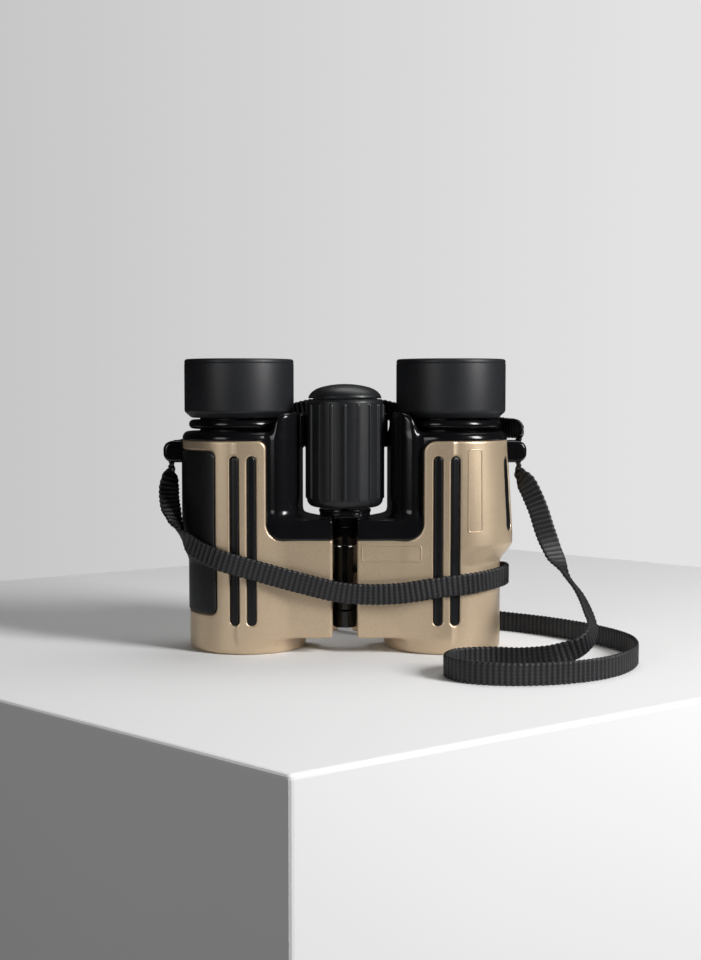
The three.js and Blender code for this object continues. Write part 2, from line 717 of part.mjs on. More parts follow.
// Left lug, round the front of both barrels, behind the right one, and in a loop on the surface up to the right lug.
const neckStations = [
  [-54.3, 0, 60.6, 0, 1, 0],
  [-54.3, 0, 58, 0, 1, 0],
  [-54.3, 0, 55.8, 0.1, 1, 0],
  [-54.6, -0.8, 52.8, 0.7, 0.7, 0],
  [-54.8, -2.6, 49, 1, 0.3, 0],
  [-54, -6, 44.5, 1, 0.3, 0],
  [-52.2, -9.4, 40, 0.6, 0.7, -0.2],
  [-50, -12.6, 36.4, 0.3, 0.5, -0.7],
  [-46.2, -16, 33, 0, 0.1, -1],
  [-38.2, -19.7, 29.4, 0, 0, -1],
  [-27.2, -20, 26.2, 0, 0, -1],
  [-13.5, -19.3, 22.3, 0, 0, -1],
  [0, -19, 19.2, 0, 0, -1],
  [15, -19.5, 19, 0, 0, -1],
  [28, -20, 20.9, 0, 0, -1],
  [41, -16.9, 22.3, 0, 0, -1],
  [49.8, -6, 23.1, 0, 0, -1],
  [49.8, 6, 22.6, 0, 0, -1],
  [42, 16.2, 21, 0, 0, -1],
  [29, 20.6, 17.6, 0, 0, -1],
  [15, 21.8, 13, 0, 0, -1],
  [3, 25.2, 8.8, 0, 0, -1],
  [-4, 33.4, 5.4, 0, 0, -1],
  [-1, 42.4, 3.6, 0, 0, -1],
  [9, 46.6, 3.2, 0, 0, -1],
  [24, 44, 3.2, 0, 0, -1],
  [38, 37.2, 3.2, 0, 0, -1],
  [52, 28.2, 3.2, 0, 0, -1],
  [67, 16, 3.2, 0, 0, -1],
  [79.6, 0, 3.2, 0, 0, -1],
  [86.4, -18, 3.2, 0, 0, -1],
  [84.4, -36, 3.2, 0, 0, -1],
  [75, -51.5, 3.2, 0, 0, -1],
  [61, -60.6, 3.2, 0, 0, -1],
  [45.7, -63.2, 3.2, 0, 0, -1],
  [33.4, -59.4, 3.2, 0, 0, -1],
  [28.4, -50, 3.2, 0, 0, -1],
  [32, -41.2, 3.2, 0, 0, -1],
  [41, -38.2, 3.2, 0, 0, -1],
  [51, -41.8, 3.6, 0, 0, -1],
  [60.3, -46, 5.4, 0, 0, -1],
  [67.4, -45.6, 8, 0.2, 0.3, -1],
  [71, -40, 11, 0.4, 0.4, -0.8],
  [71.4, -33.5, 14.6, 0.6, 0.5, -0.6],
  [69.6, -25.5, 20.2, 0.6, 0.6, -0.6],
  [66.7, -20, 24.4, 0.5, 0.7, -0.5],
  [63.6, -14, 30.6, 0.9, 0.3, 0],
  [61.5, -9.5, 36.9, 1, 0, 0.2],
  [59.7, -6, 43.5, 1, 0, 0.2],
  [57, -2.8, 50.2, 0.9, -0.4, 0.2],
  [54.7, -0.4, 54.2, 0.4, -0.9, 0],
  [54.3, 0, 56.6, 0, -1, 0],
  [54.3, 0, 58.4, 0, -1, 0],
  [54.3, 0, 60.6, 0, -1, 0],
];
place("neck_strap", webbing(neckStations, 120), "webbing");

// From lug to lug behind the eyepiece necks.
const backStations = [
  [54.3, 0, 65, 0, 1, 0],
  [54.7, 0.1, 66.4, 0, 1, -0.1],
  [54.6, 4.2, 68.8, 0, 0.7, -0.7],
  [51.4, 12.4, 69.4, 0, 0, -1],
  [42.4, 19.2, 69.6, 0, 0, -1],
  [31, 20.8, 70.4, 0, 0, -1],
  [20, 18.6, 72, 0, 0, -1],
  [12, 15, 74, 0, 0, -1],
  [0, 12.6, 75.4, 0, 0, -1],
  [-12, 15, 74, 0, 0, -1],
  [-20, 18.6, 71.8, 0, 0, -1],
  [-31, 21, 68.4, 0, 0, -1],
  [-41, 20, 65, 0, 0, -1],
  [-48.4, 16, 62.6, 0, 0, -1],
  [-52, 11, 61.5, 0, 0, -1],
  [-53.2, 7.4, 61.2, 0, 0, -1],
  [-53.4, 4.8, 61.2, 0, 0, -1],
];
place("back_strap", webbing(backStations, 36), "webbing");

export default binoculars;
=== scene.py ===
import math

import bmesh
import bpy
import numpy as np
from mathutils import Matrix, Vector


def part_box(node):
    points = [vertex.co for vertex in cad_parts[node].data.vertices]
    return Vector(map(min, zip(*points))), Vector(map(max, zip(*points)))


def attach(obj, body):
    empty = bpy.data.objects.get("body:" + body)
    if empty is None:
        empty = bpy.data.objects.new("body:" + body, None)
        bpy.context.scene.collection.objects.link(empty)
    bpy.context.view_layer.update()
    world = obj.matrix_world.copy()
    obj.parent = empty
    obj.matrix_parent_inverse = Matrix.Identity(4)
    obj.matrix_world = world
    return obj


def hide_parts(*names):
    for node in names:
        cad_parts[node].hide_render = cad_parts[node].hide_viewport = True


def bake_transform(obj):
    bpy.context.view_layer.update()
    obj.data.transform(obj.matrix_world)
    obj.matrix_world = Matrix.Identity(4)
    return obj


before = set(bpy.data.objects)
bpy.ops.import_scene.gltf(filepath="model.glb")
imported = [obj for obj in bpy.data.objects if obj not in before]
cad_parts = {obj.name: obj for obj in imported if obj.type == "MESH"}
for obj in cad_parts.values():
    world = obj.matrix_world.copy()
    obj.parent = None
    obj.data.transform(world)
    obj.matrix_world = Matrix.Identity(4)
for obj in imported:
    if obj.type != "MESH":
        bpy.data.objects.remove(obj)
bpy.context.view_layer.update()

# Shapes are worked out in millimetres and put in place in metres. Left and right pieces share
# their formulas: out is the distance outwards from the hinge plane, so out = side * x.
mm = 0.001
hands = {"left": -1, "right": 1}


def boxOf(node):
    low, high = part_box(node)
    return np.array(low) / mm, np.array(high) / mm


def middleOf(node):
    low, high = boxOf(node)
    return (low + high) / 2


# Places that several pieces share, read from the frame.
body = {
    "eyeX": middleOf("right_eyecup")[0],
    "housingX": middleOf("right_prism_shelf")[0],
    "barrelX": middleOf("right_objective_cell")[0],
    "barrelTop": boxOf("right_frame")[0][2],
    "housingRadius": boxOf("right_frame")[1][1],
    "barrelRadius": 18.1,
    "cavityRadius": 16.5,
    "hingeY": middleOf("knob_cap")[1],
    "faceBack": 1.75,  # the flat front stands this far behind the housing's front
    "blockLow": boxOf("right_shell")[0][2] + 4.85,
    "shellTop": boxOf("left_shell")[1][2],
    "bridgeX": 3.75,
    "seamX": 23.8,
    "armThick": 6.3,
    "capThick": 2.8,
}
body["front"] = body["faceBack"] - body["housingRadius"]
body["armTop"] = body["barrelTop"] + body["armThick"]
body["capTop"] = body["shellTop"] + body["capThick"]


# Making meshes.
# Points in millimetres and faces as an array of corner numbers become an object in metres.
# The faces are turned over if the volume they enclose comes out negative.
def putMesh(name, points, faces, material, smooth=True, uv=None):
    points = np.asarray(points, float).reshape(-1, 3) * mm
    faces = np.asarray(faces)
    a, b, c = points[faces[:, 0]], points[faces[:, 1]], points[faces[:, 2]]
    d = points[faces[:, -1]]
    volume = np.einsum("ij,ij->", a, np.cross(b, c)) + np.einsum("ij,ij->", a, np.cross(c, d))
    if volume < 0:
        faces = faces[:, ::-1]
    mesh = bpy.data.meshes.new(name)
    corners = faces.shape[1]
    mesh.vertices.add(len(points))
    mesh.vertices.foreach_set("co", points.astype(np.float32).ravel())
    mesh.loops.add(faces.size)
    mesh.loops.foreach_set("vertex_index", faces.astype(np.int32).ravel())
    mesh.polygons.add(len(faces))
    mesh.polygons.foreach_set("loop_start", np.arange(0, faces.size, corners, dtype=np.int32))
    mesh.polygons.foreach_set("use_smooth", np.full(len(faces), smooth))
    if uv is not None:
        layer = mesh.uv_layers.new(name="along")
        layer.data.foreach_set("uv", uv[faces.ravel()].astype(np.float32).ravel())
    mesh.update(calc_edges=True)
    mesh.validate()
    obj = bpy.data.objects.new(name, mesh)
    bpy.context.scene.collection.objects.link(obj)
    mesh.materials.append(material)
    return obj


# Corner numbers of the quads of a grid whose points run row by row.
def gridFaces(rows, columns, loopRows=False, loopColumns=False):
    r = np.arange(rows if loopRows else rows - 1)[:, None]
    c = np.arange(columns if loopColumns else columns - 1)[None, :]
    below, right = (r + 1) % rows, (c + 1) % columns
    quads = [r * columns + c, r * columns + right, below * columns + right, below * columns + c]
    return np.stack(np.broadcast_arrays(*quads), -1).reshape(-1, 4)


def settle(piece, bodyName, slotName, *nodes):
    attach(piece, bodyName)
    if nodes:
        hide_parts(*nodes)
    return piece


# Doubled points become one, which closes poles.
def weld(obj, distance=0.00001):
    work = bmesh.new()
    work.from_mesh(obj.data)
    bmesh.ops.remove_doubles(work, verts=work.verts, dist=distance)
    work.to_mesh(obj.data)
    work.free()


# Profiles turned about an upright axis.
# Corners are (radius, height, rounding). Each rounded corner becomes an arc of a few points
# that starts and ends at the same distance from the corner on both of its sides.
def roundedProfile(corners, steps=6):
    points = []
    count = len(corners)
    for i, (r, z, rounding) in enumerate(corners):
        at = np.array([r, z])
        if rounding <= 0:
            points.append(at)
            continue
        before = np.array(corners[i - 1][:2]) - at
        after = np.array(corners[(i + 1) % count][:2]) - at
        before, after = before / np.linalg.norm(before), after / np.linalg.norm(after)
        half = math.acos(np.clip(before @ after, -1, 1)) / 2
        reach = rounding / math.tan(half)
        middle = (before + after) / np.linalg.norm(before + after) * rounding / math.sin(half) + at
        start, end = at + before * reach - middle, at + after * reach - middle
        turn = np.linspace(0, 1, steps)[:, None]
        sweep = math.pi - 2 * half
        arc = (np.sin((1 - turn) * sweep) * start + np.sin(turn * sweep) * end) / math.sin(sweep)
        points.extend(arc + middle)
    return np.array(points)


# Each point of the profile goes round the axis: x + r cos(turn), y + r sin(turn), height.
def turnedPiece(name, corners, material, x=0.0, y=0.0, sides=128, closed=True, steps=6):
    profile = roundedProfile(corners, steps)
    turn = np.linspace(0, 2 * math.pi, sides, endpoint=False)[:, None]
    points = np.stack(
        [
            x + profile[:, 0] * np.cos(turn),
            y + profile[:, 0] * np.sin(turn),
            profile[:, 1] + 0 * turn,
        ],
        -1,
    )
    obj = putMesh(name, points, gridFaces(sides, len(profile), True, closed), material)
    weld(obj)
    return obj


# Shapes worked out as distances.
# A field gives every point its distance from a surface, below zero inside. Two fields meet with
# an outer edge rounded (both), an inner corner filled (either), or one taken from the other (less).
def both(a, b, r=0.0):
    if r <= 0:
        return np.maximum(a, b)
    return np.minimum(np.maximum(a, b), -r) + np.hypot(np.maximum(a + r, 0), np.maximum(b + r, 0))


def either(a, b, r=0.0):
    if r <= 0:
        return np.minimum(a, b)
    return np.maximum(np.minimum(a, b), r) - np.hypot(np.maximum(r - a, 0), np.maximum(r - b, 0))


def less(a, b, r=0.0):
    return both(a, -b, r)


def disc(x, y, cx, cy, radius):
    return np.hypot(x - cx, y - cy) - radius


def between(value, low, high):
    return np.maximum(low - value, value - high)


def smoothStep(t):
    t = np.clip(t, 0, 1)
    return t * t * (3 - 2 * t)


# A bar with round ends, from low to high along, and half wide to each side.
def pill(across, along, low, high, half):
    return np.hypot(across, along - np.clip(along, low + half, high - half)) - half


def roundedPlate(across, along, halfAcross, halfAlong, radius):
    qx = np.abs(across) - halfAcross + radius
    qz = np.abs(along) - halfAlong + radius
    outside = np.hypot(np.maximum(qx, 0), np.maximum(qz, 0))
    return outside + np.minimum(np.maximum(qx, qz), 0) - radius


# The surface where a field is zero, as points and quads. One point stands in each cell that
# the surface crosses, at the mean of its crossings, and is then moved along the field's slope
# onto the surface. Each grid edge that the surface crosses gives one quad of its four cells.
def skin(field, low, high, step):
    low, high = np.asarray(low, float), np.asarray(high, float)
    size = np.ceil((high - low) / step).astype(int) + 2
    axes = [(low[i] - step / 2 + step * np.arange(size[i])).astype(np.float32) for i in range(3)]
    values = field(*np.meshgrid(*axes, indexing="ij", sparse=True)).astype(np.float32)
    values = np.broadcast_to(values, size)
    inside = values < 0
    cellShape = size - 1
    count = np.zeros(cellShape, np.uint8)
    corners = [(i, j, k) for i in (0, 1) for j in (0, 1) for k in (0, 1)]
    for i, j, k in corners:
        count += inside[i : i + cellShape[0], j : j + cellShape[1], k : k + cellShape[2]]
    cells = np.argwhere((count > 0) & (count < 8))
    number = np.full(cellShape, -1, np.int64)
    number[tuple(cells.T)] = np.arange(len(cells))
    total, hits = np.zeros((len(cells), 3)), np.zeros(len(cells))
    quads = []
    for axis in range(3):
        along = np.eye(3, dtype=int)[axis]
        others = [i for i in range(3) if i != axis]
        for i in (0, 1):
            for j in (0, 1):
                start = cells.copy()
                start[:, others[0]] += i
                start[:, others[1]] += j
                near, far = values[tuple(start.T)], values[tuple((start + along).T)]
                crossed = (near < 0) != (far < 0)
                share = np.where(crossed, near / np.where(crossed, near - far, 1), 0)
                total += np.where(crossed[:, None], start + share[:, None] * along, 0)
                hits += crossed
        end = [slice(1, None) if i == axis else slice(1, -1) for i in range(3)]
        begin = [slice(0, -1) if i == axis else slice(1, -1) for i in range(3)]
        change = inside[tuple(begin)] != inside[tuple(end)]
        edges = np.argwhere(change) + [0 if i == axis else 1 for i in range(3)]
        ring = []
        for i, j in ((0, 0), (1, 0), (1, 1), (0, 1)):
            cell = edges.copy()
            cell[:, others[0]] -= i
            cell[:, others[1]] -= j
            ring.append(number[tuple(cell.T)])
        quad = np.stack(ring, -1)
        flip = inside[tuple(edges.T)] ^ (axis == 1)
        quads.append(np.where(flip[:, None], quad, quad[:, ::-1]))
    points = low - step / 2 + total / hits[:, None] * step
    for _ in range(3):
        slope = slopeOf(field, points)
        value = field(*points.T)
        move = value[:, None] * slope / np.maximum((slope**2).sum(1), 0.2)[:, None]
        length = np.linalg.norm(move, axis=1)[:, None]
        points = points - move * np.minimum(1, 0.5 * step / np.maximum(length, 1e-9))
    return points, np.concatenate(quads)


def slopeOf(field, points, reach=0.02):
    x, y, z = points.T
    return np.stack(
        [
            field(x + reach, y, z) - field(x - reach, y, z),
            field(x, y + reach, z) - field(x, y - reach, z),
            field(x, y, z + reach) - field(x, y, z - reach),
        ],
        -1,
    ) / (2 * reach)


def carvedPiece(name, field, low, high, step, material):
    points, quads = skin(field, low, high, step)
    return putMesh(name, points, quads, material)


def aroundNode(node, margin=0.6):
    low, high = boxOf(node)
    return low - margin, high + margin


# Materials.
# Screen colour, 0 to 255, as the light it stands for.
def linear(red, green, blue):
    c = np.array([red, green, blue]) / 255
    light = np.where(c <= 0.04045, c / 12.92, ((c + 0.055) / 1.055) ** 2.4)
    return (*[float(v) for v in light], 1.0)


def newMaterial(name, **sockets):
    material = bpy.data.materials.new(name)
    material.use_nodes = True
    shader = material.node_tree.nodes["Principled BSDF"]
    for socket, value in sockets.items():
        shader.inputs[socket.replace("_", " ")].default_value = value
    return material, material.node_tree.nodes, material.node_tree.links, shader


# Noise on Object coordinates, which are in metres.
def noiseOn(nodes, links, scale, detail=4):
    place = nodes.new("ShaderNodeTexCoord")
    noise = nodes.new("ShaderNodeTexNoise")
    noise.inputs["Scale"].default_value = scale
    noise.inputs["Detail"].default_value = detail
    links.new(place.outputs["Object"], noise.inputs["Vector"])
    return noise.outputs["Fac"]


def mixColours(nodes, links, factor, low, high, lowAt=0.3, highAt=0.7):
    ramp = nodes.new("ShaderNodeValToRGB")
    ramp.color_ramp.elements[0].position, ramp.color_ramp.elements[1].position = lowAt, highAt
    ramp.color_ramp.elements[0].color, ramp.color_ramp.elements[1].color = low, high
    links.new(factor, ramp.inputs["Fac"])
    return ramp.outputs["Color"]


def rangeOf(nodes, links, factor, low, high):
    spread = nodes.new("ShaderNodeMapRange")
    spread.inputs["From Min"].default_value, spread.inputs["From Max"].default_value = 0.3, 0.7
    spread.inputs["To Min"].default_value, spread.inputs["To Max"].default_value = low, high
    links.new(factor, spread.inputs["Value"])
    return spread.outputs["Result"]


def bumpOf(nodes, links, shader, height, strength, distance):
    bump = nodes.new("ShaderNodeBump")
    bump.inputs["Strength"].default_value = strength
    bump.inputs["Distance"].default_value = distance
    links.new(height, bump.inputs["Height"])
    links.new(bump.outputs["Normal"], shader.inputs["Normal"])


# A black finish with a slow change of tone and a fine grain that also varies its gloss.
def blackFinish(name, dark, light, roughness, grain, grainHeight, **sockets):
    material, nodes, links, shader = newMaterial(name, **sockets)
    slow = noiseOn(nodes, links, 60)
    fine = noiseOn(nodes, links, grain, 3)
    links.new(mixColours(nodes, links, slow, dark, light), shader.inputs["Base Color"])
    links.new(rangeOf(nodes, links, fine, *roughness), shader.inputs["Roughness"])
    bumpOf(nodes, links, shader, fine, 0.6, grainHeight)
    return material


# Champagne paint: metal flakes under a thin satin lacquer.
def paintFinish(name):
    material, nodes, links, shader = newMaterial(name, Metallic=0.55, Coat_Weight=0.1, Coat_Roughness=0.3)
    flake = noiseOn(nodes, links, 4200, 2)
    slow = noiseOn(nodes, links, 35)
    tone = mixColours(nodes, links, flake, linear(190, 168, 140), linear(208, 187, 159))
    links.new(tone, shader.inputs["Base Color"])
    links.new(rangeOf(nodes, links, slow, 0.36, 0.42), shader.inputs["Roughness"])
    bumpOf(nodes, links, shader, flake, 0.2, 0.00002)
    return material


# Sizes of the straps' webbing. bundles is how many bundles of yarn make its width.
webbing = {"width": 6.3, "thick": 1.0, "pitch": 1.6, "rowsPerRib": 7, "across": 14, "rib": 0.24, "bundles": 6}


# Nylon yarn: a painted highlight runs along each rib's crest, broken up by the bundles and the yarn's grain,
# and painted shade leaves the dips beside it nearly black.
def webbingFinish(name):
    material, nodes, links, shader = newMaterial(name, Specular_IOR_Level=0.45)
    along = nodes.new("ShaderNodeUVMap")
    along.uv_map = "along"
    parts = nodes.new("ShaderNodeSeparateXYZ")
    links.new(along.outputs["UV"], parts.inputs["Vector"])

    def maths(operation, *terms):
        step = nodes.new("ShaderNodeMath")
        step.operation = operation
        for socket, term in zip(step.inputs, terms):
            if isinstance(term, (int, float)):
                socket.default_value = term
            else:
                links.new(term, socket)
        return step.outputs["Value"]

    # Painted highlight: strongest along each rib's crest, falling to painted shade in the dips between ribs.
    crestHighlight = maths("ABSOLUTE", maths("COSINE", maths("MULTIPLY", parts.outputs["X"], math.pi)))
    crestHighlight = maths("POWER", crestHighlight, 2.5)
    bundle = maths("MULTIPLY", parts.outputs["Y"], webbing["bundles"] * math.pi)
    bundle = maths("ABSOLUTE", maths("SINE", bundle))
    yarn = noiseOn(nodes, links, 5200, 3)
    highlightBreakup = maths("MULTIPLY", rangeOf(nodes, links, bundle, 0.5, 1.0), rangeOf(nodes, links, yarn, 0.6, 1.0))
    # How much painted highlight each point gets; the tone below goes from painted shade to painted highlight.
    light = maths("MULTIPLY", crestHighlight, highlightBreakup)
    tone = mixColours(nodes, links, light, linear(2, 2, 3), linear(50, 51, 55), 0.2, 0.98)
    links.new(tone, shader.inputs["Base Color"])
    links.new(rangeOf(nodes, links, yarn, 0.42, 0.62), shader.inputs["Roughness"])
    bumpOf(nodes, links, shader, yarn, 0.7, 0.00008)
    return material


def lensFinish(name, tint):
    material, nodes, links, shader = newMaterial(
        name, IOR=1.52, Roughness=0.04, Coat_Weight=0.6, Coat_Roughness=0.03
    )
    bloom = noiseOn(nodes, links, 30)
    links.new(mixColours(nodes, links, bloom, tint, linear(30, 44, 60)), shader.inputs["Base Color"])
    return material


# Black materials: dark and light grey, roughness from and to, size and height of the grain,
# and what differs from the shader's own values.
specular = "Specular_IOR_Level"
blacks = {
    "frame": ("frameBlack", (13, 13, 15), (18, 18, 20), (0.15, 0.19), 1500, 0.0000008, {specular: 0.36}),
    "eyecup": ("eyecupRubber", (28, 29, 32), (35, 36, 39), (0.42, 0.5), 2600, 0.00003, {specular: 0.4}),
    "knob": ("knobRubber", (24, 25, 27), (31, 32, 34), (0.34, 0.42), 2400, 0.00003, {specular: 0.42}),
    "insert": ("insertRubber", (9, 10, 12), (14, 15, 18), (0.3, 0.38), 2200, 0.00002, {specular: 0.3}),
    "grip": ("gripRubber", (11, 12, 14), (17, 18, 20), (0.42, 0.5), 1800, 0.00005, {specular: 0.34}),
    "anodised": ("blackAnodised", (14, 14, 15), (24, 24, 26), (0.4, 0.5), 1500, 0.00002, {"Metallic": 0.5}),
    "steel": ("pinSteel", (34, 35, 37), (46, 47, 50), (0.3, 0.4), 1800, 0.00001, {"Metallic": 0.8}),
}
finish = {
    kind: blackFinish(name, linear(*dark), linear(*light), roughness, grain, height, **sockets)
    for kind, (name, dark, light, roughness, grain, height, sockets) in blacks.items()
}
finish["paint"] = paintFinish("champagnePaint")
finish["webbing"] = webbingFinish("blackWebbing")
finish["lens"] = lensFinish("coatedLens", linear(14, 20, 26))
print("finishes made")


# The form that shells, frames, grips and inserts share.
form = {"kneeLow": 26.8, "kneeHigh": 33.4, "footRound": 1.4, "blockFillet": 4.0, "blockDepth": 22.5,
        "restTop": 64.0, "restLow": 36.0, "restProud": 1.7, "armDepth": 28.5, "lean": 0.47,
        "finIn": 2.2, "finOut": 5.6, "finFront": 2.9, "finBack": 4.3, "finBore": 3.72,
        "columnCorner": 5.2, "capCornerLeft": 2.4, "capCornerRight": 3.7,
        "holeRadius": 12.55, "holeDepth": 3.0, "roofThick": 1.8}


# Distance from an upright barrel whose axis and radius go smoothly from the objective's below
# the knee to the housing's above it. The right housing also swells outwards down to its knee.
def barrelField(x, y, z, side):
    out = side * x
    share = smoothStep((z - form["kneeLow"]) / (form["kneeHigh"] - form["kneeLow"]))
    axis = body["barrelX"] + (body["housingX"] - body["barrelX"]) * share
    radius = body["barrelRadius"] + (body["housingRadius"] - body["barrelRadius"]) * share
    if side > 0:
        turn = np.arctan2(y, out - axis)
        outward = smoothStep(1.25 - np.abs(turn) / 1.25)
        fall = (form["restTop"] - z) / (form["restTop"] - form["restLow"])
        radius = radius + form["restProud"] * outward * share * np.clip(fall, 0, 1)
    return np.hypot(out - axis, y) - radius


# Plan of a bridge arm: flat front, end beside the hinge, and a back that leans away from it.
def armPlan(x, y, side, depth, corner):
    out = side * x
    rear = body["front"] + depth
    leanStart = body["hingeY"] + 1
    tilt = math.hypot(1, form["lean"])
    leaning = ((body["bridgeX"] - out) + form["lean"] * (y - leanStart)) / tilt
    plan = both(body["front"] - y, body["bridgeX"] - out, corner)
    plan = both(plan, leaning, 0.3)
    return both(plan, y - rear, 1.5)


# A thin fin inside the gap at the hinge, behind the column, that stops light coming through.
def hingeFin(x, y, side):
    bar = np.maximum(between(side * x, form["finIn"], form["finOut"]),
                     between(y, body["hingeY"] + form["finFront"], body["hingeY"] + form["finBack"]))
    return less(bar, disc(x, y, 0, body["hingeY"], form["finBore"]))


# The whole outside of a half below its cap: barrel and housing with the bridge block.
def bodyField(x, y, z, side):
    barrel = both(barrelField(x, y, z, side), -z, form["footRound"])
    plan = np.minimum(armPlan(x, y, side, form["blockDepth"], 0.7), hingeFin(x, y, side))
    block = both(plan, side * x - body["barrelX"])
    block = both(block, body["blockLow"] - z, 1.0)
    block = np.maximum(block, z - body["shellTop"] - 3)
    return either(barrel, block, form["blockFillet"])


# Seen from the front, the part of a half that is the black frame: column and arm inboard of
# an upright seam, with a round lower corner, and the cap, with a round corner between them.
def frameRegion(x, z, side):
    corner = form["capCornerLeft"] if side < 0 else form["capCornerRight"]
    column = both(side * x - body["seamX"], body["barrelTop"] - z, form["columnCorner"])
    return either(column, body["shellTop"] - z, corner)


def cavityField(x, y, z, side):
    out = side * x
    lower = both(disc(out, y, body["barrelX"], 0, body["cavityRadius"]), between(z, -2, body["barrelTop"]))
    upper = disc(out, y, body["housingX"], 0, body["cavityRadius"])
    upper = np.maximum(upper, between(z, body["barrelTop"] - 1, body["shellTop"] - form["roofThick"]))
    return np.minimum(lower, upper)


def eyepieceHole(x, y, z, side):
    hole = disc(side * x, y, body["eyeX"], 0, form["holeRadius"])
    return np.maximum(hole, body["shellTop"] - form["holeDepth"] - z)


# Grooves and their rubber inserts, and the side grip.
groove = {"width": 3.0, "pitch": 5.2, "inboard": 1.7, "low": 9.0, "high": 60.4, "depth": 1.0,
          "sideWidth": 4.4, "sideAngle": 69.0, "sideLow": 36.7, "sideHigh": 59.7}
grip = {"from": 22.0, "to": 128.0, "low": 12.0, "high": 62.0, "corner": 2.3, "depth": 0.8, "proud": 0.3}


# A groove with round ends, seen from the front, or for the side one unrolled round the housing.
def grooveShape(x, y, z, side, which, half):
    out = side * x
    if which == "side":
        angle = np.arctan2(out - body["housingX"], -y) - math.radians(groove["sideAngle"])
        return pill(angle * body["housingRadius"], z, groove["sideLow"], groove["sideHigh"], half)
    sign = -1 if which == "inner" else 1
    centre = body["housingX"] - groove["inboard"] + sign * groove["pitch"] / 2
    return both(pill(out - centre, z, groove["low"], groove["high"], half), y + 4)


# The side grip unrolled round the left housing: a plate with round corners.
def gripShape(x, y, z, grow):
    angle = np.arctan2(-x - body["housingX"], -y) - math.radians((grip["from"] + grip["to"]) / 2)
    half = math.radians(grip["to"] - grip["from"]) / 2 * body["housingRadius"]
    middle = (grip["low"] + grip["high"]) / 2
    return roundedPlate(angle * body["housingRadius"], z - middle, half + grow,
                        (grip["high"] - grip["low"]) / 2 + grow, grip["corner"] + grow)


def grooveHalf(which):
    return groove["sideWidth" if which == "side" else "width"] / 2


def groovesOf(side):
    return ("inner", "outer", "side") if side > 0 else ("inner", "outer")


# Shells.
shell = {"step": 0.4, "edge": 0.35, "gap": 0.06, "grooveEdge": 0.3, "windowHalf": 1.6, "windowRoom": 2.2,
         "hollowEdge": 0.3, "towardsHinge": 1.6, "sideSwell": 2.0}


def shellField(side):
    armLow, armHigh = boxOf("left_focus_arm" if side < 0 else "right_focus_arm")

    def field(x, y, z):
        outer = bodyField(x, y, z, side)
        solid = both(outer, shell["gap"] - frameRegion(x, z, side), shell["edge"])
        for which in groovesOf(side):
            notch = np.maximum(grooveShape(x, y, z, side, which, grooveHalf(which)), -outer - groove["depth"])
            solid = less(solid, notch, shell["grooveEdge"])
        if side < 0:
            notch = np.maximum(gripShape(x, y, z, 0), -outer - grip["depth"])
            solid = less(solid, notch, shell["grooveEdge"])
        hollow = np.minimum(cavityField(x, y, z, side), eyepieceHole(x, y, z, side))
        window = between(y, body["hingeY"] - shell["windowHalf"], body["hingeY"] + shell["windowHalf"])
        room = between(z, armLow[2] - shell["windowRoom"], armHigh[2] + shell["windowRoom"])
        window = np.maximum(np.maximum(window, room), side * x - body["barrelX"])
        return less(less(solid, hollow, shell["hollowEdge"]), window)

    return field


for hand, side in hands.items():
    node = f"{hand}_shell"
    low, high = aroundNode(node)
    low = low - [shell["towardsHinge"] if side > 0 else 0, 0, 0]
    high = high + [shell["sideSwell"] if side > 0 else shell["towardsHinge"], 0, 0]
    piece = carvedPiece(f"{hand}Shell", shellField(side), low, high, shell["step"], finish["paint"])
    settle(piece, f"{hand}_half", "shell", node)
    print(node, "skin", len(piece.data.polygons) * 2, "triangles")


# Frames.
hump = {"out": 21.5, "top": boxOf("left_frame")[1][2] + 0.4, "crown": 4.5, "foot": 3.2, "edge": 1.4,
        "flank": 8.0, "armFillet": 3.0, "capRound": 2.3, "knobGap": 1.76, "rear": 2.25, "cupRoom": 17.6,
        "cupRoomEdge": 0.5, "knobRoom": 14.9, "bandGap": 0.3, "step": 0.36}


def frameField(side):
    bandLow, bandHigh = boxOf("rear_bridge")
    knobWall = boxOf("knob_grip")[1][0] + hump["knobGap"]

    def field(x, y, z):
        out = side * x
        housing = barrelField(x, y, z, side)
        cap = both(housing, z - body["capTop"], hump["capRound"])
        plan = both(knobWall - out, body["front"] - y, hump["flank"])
        plan = both(plan, y - (body["housingRadius"] - hump["rear"]), hump["flank"])
        plan = np.maximum(plan, out - body["housingX"])
        tall = both(out - hump["out"], z - hump["top"], hump["crown"])
        column = both(plan, tall, hump["edge"])
        whole = either(cap, column, hump["foot"])
        plan = np.minimum(armPlan(x, y, side, form["armDepth"], 0.6), hingeFin(x, y, side))
        arm = both(plan, z - body["armTop"], 1.0)
        arm = np.maximum(arm, out - body["housingX"])
        whole = either(whole, arm, hump["armFillet"])
        whole = both(whole, frameRegion(x, z, side), shell["edge"])
        cupRoom = np.maximum(disc(out, y, body["eyeX"], 0, hump["cupRoom"]), body["capTop"] - z)
        whole = less(whole, cupRoom, hump["cupRoomEdge"])
        band = between(z, bandLow[2] - hump["bandGap"], bandHigh[2] + hump["bandGap"])
        knobRoom = np.maximum(disc(x, y, 0, body["hingeY"], hump["knobRoom"]), band)
        hollow = np.minimum(cavityField(x, y, z, side), eyepieceHole(x, y, z, side))
        return less(less(whole, knobRoom), hollow, shell["hollowEdge"])

    return field


for hand, side in hands.items():
    node = f"{hand}_frame"
    low, high = aroundNode(node, 0.9)
    low = low - [shell["towardsHinge"] if side > 0 else 0, 0, 0]
    high = high + [0 if side > 0 else shell["towardsHinge"], 0, 0]
    piece = carvedPiece(f"{hand}Frame", frameField(side), low, high, hump["step"], finish["frame"])
    settle(piece, f"{hand}_half", "frame", node)
    print(node, "skin", len(piece.data.polygons) * 2, "triangles")


# Rubber inserts and side grip.
rubber = {"slack": 0.16, "sink": 0.12, "round": 0.8, "floor": 0.05, "step": 0.25, "gripSlack": 0.22,
          "gripRound": 0.5, "gripStep": 0.4}


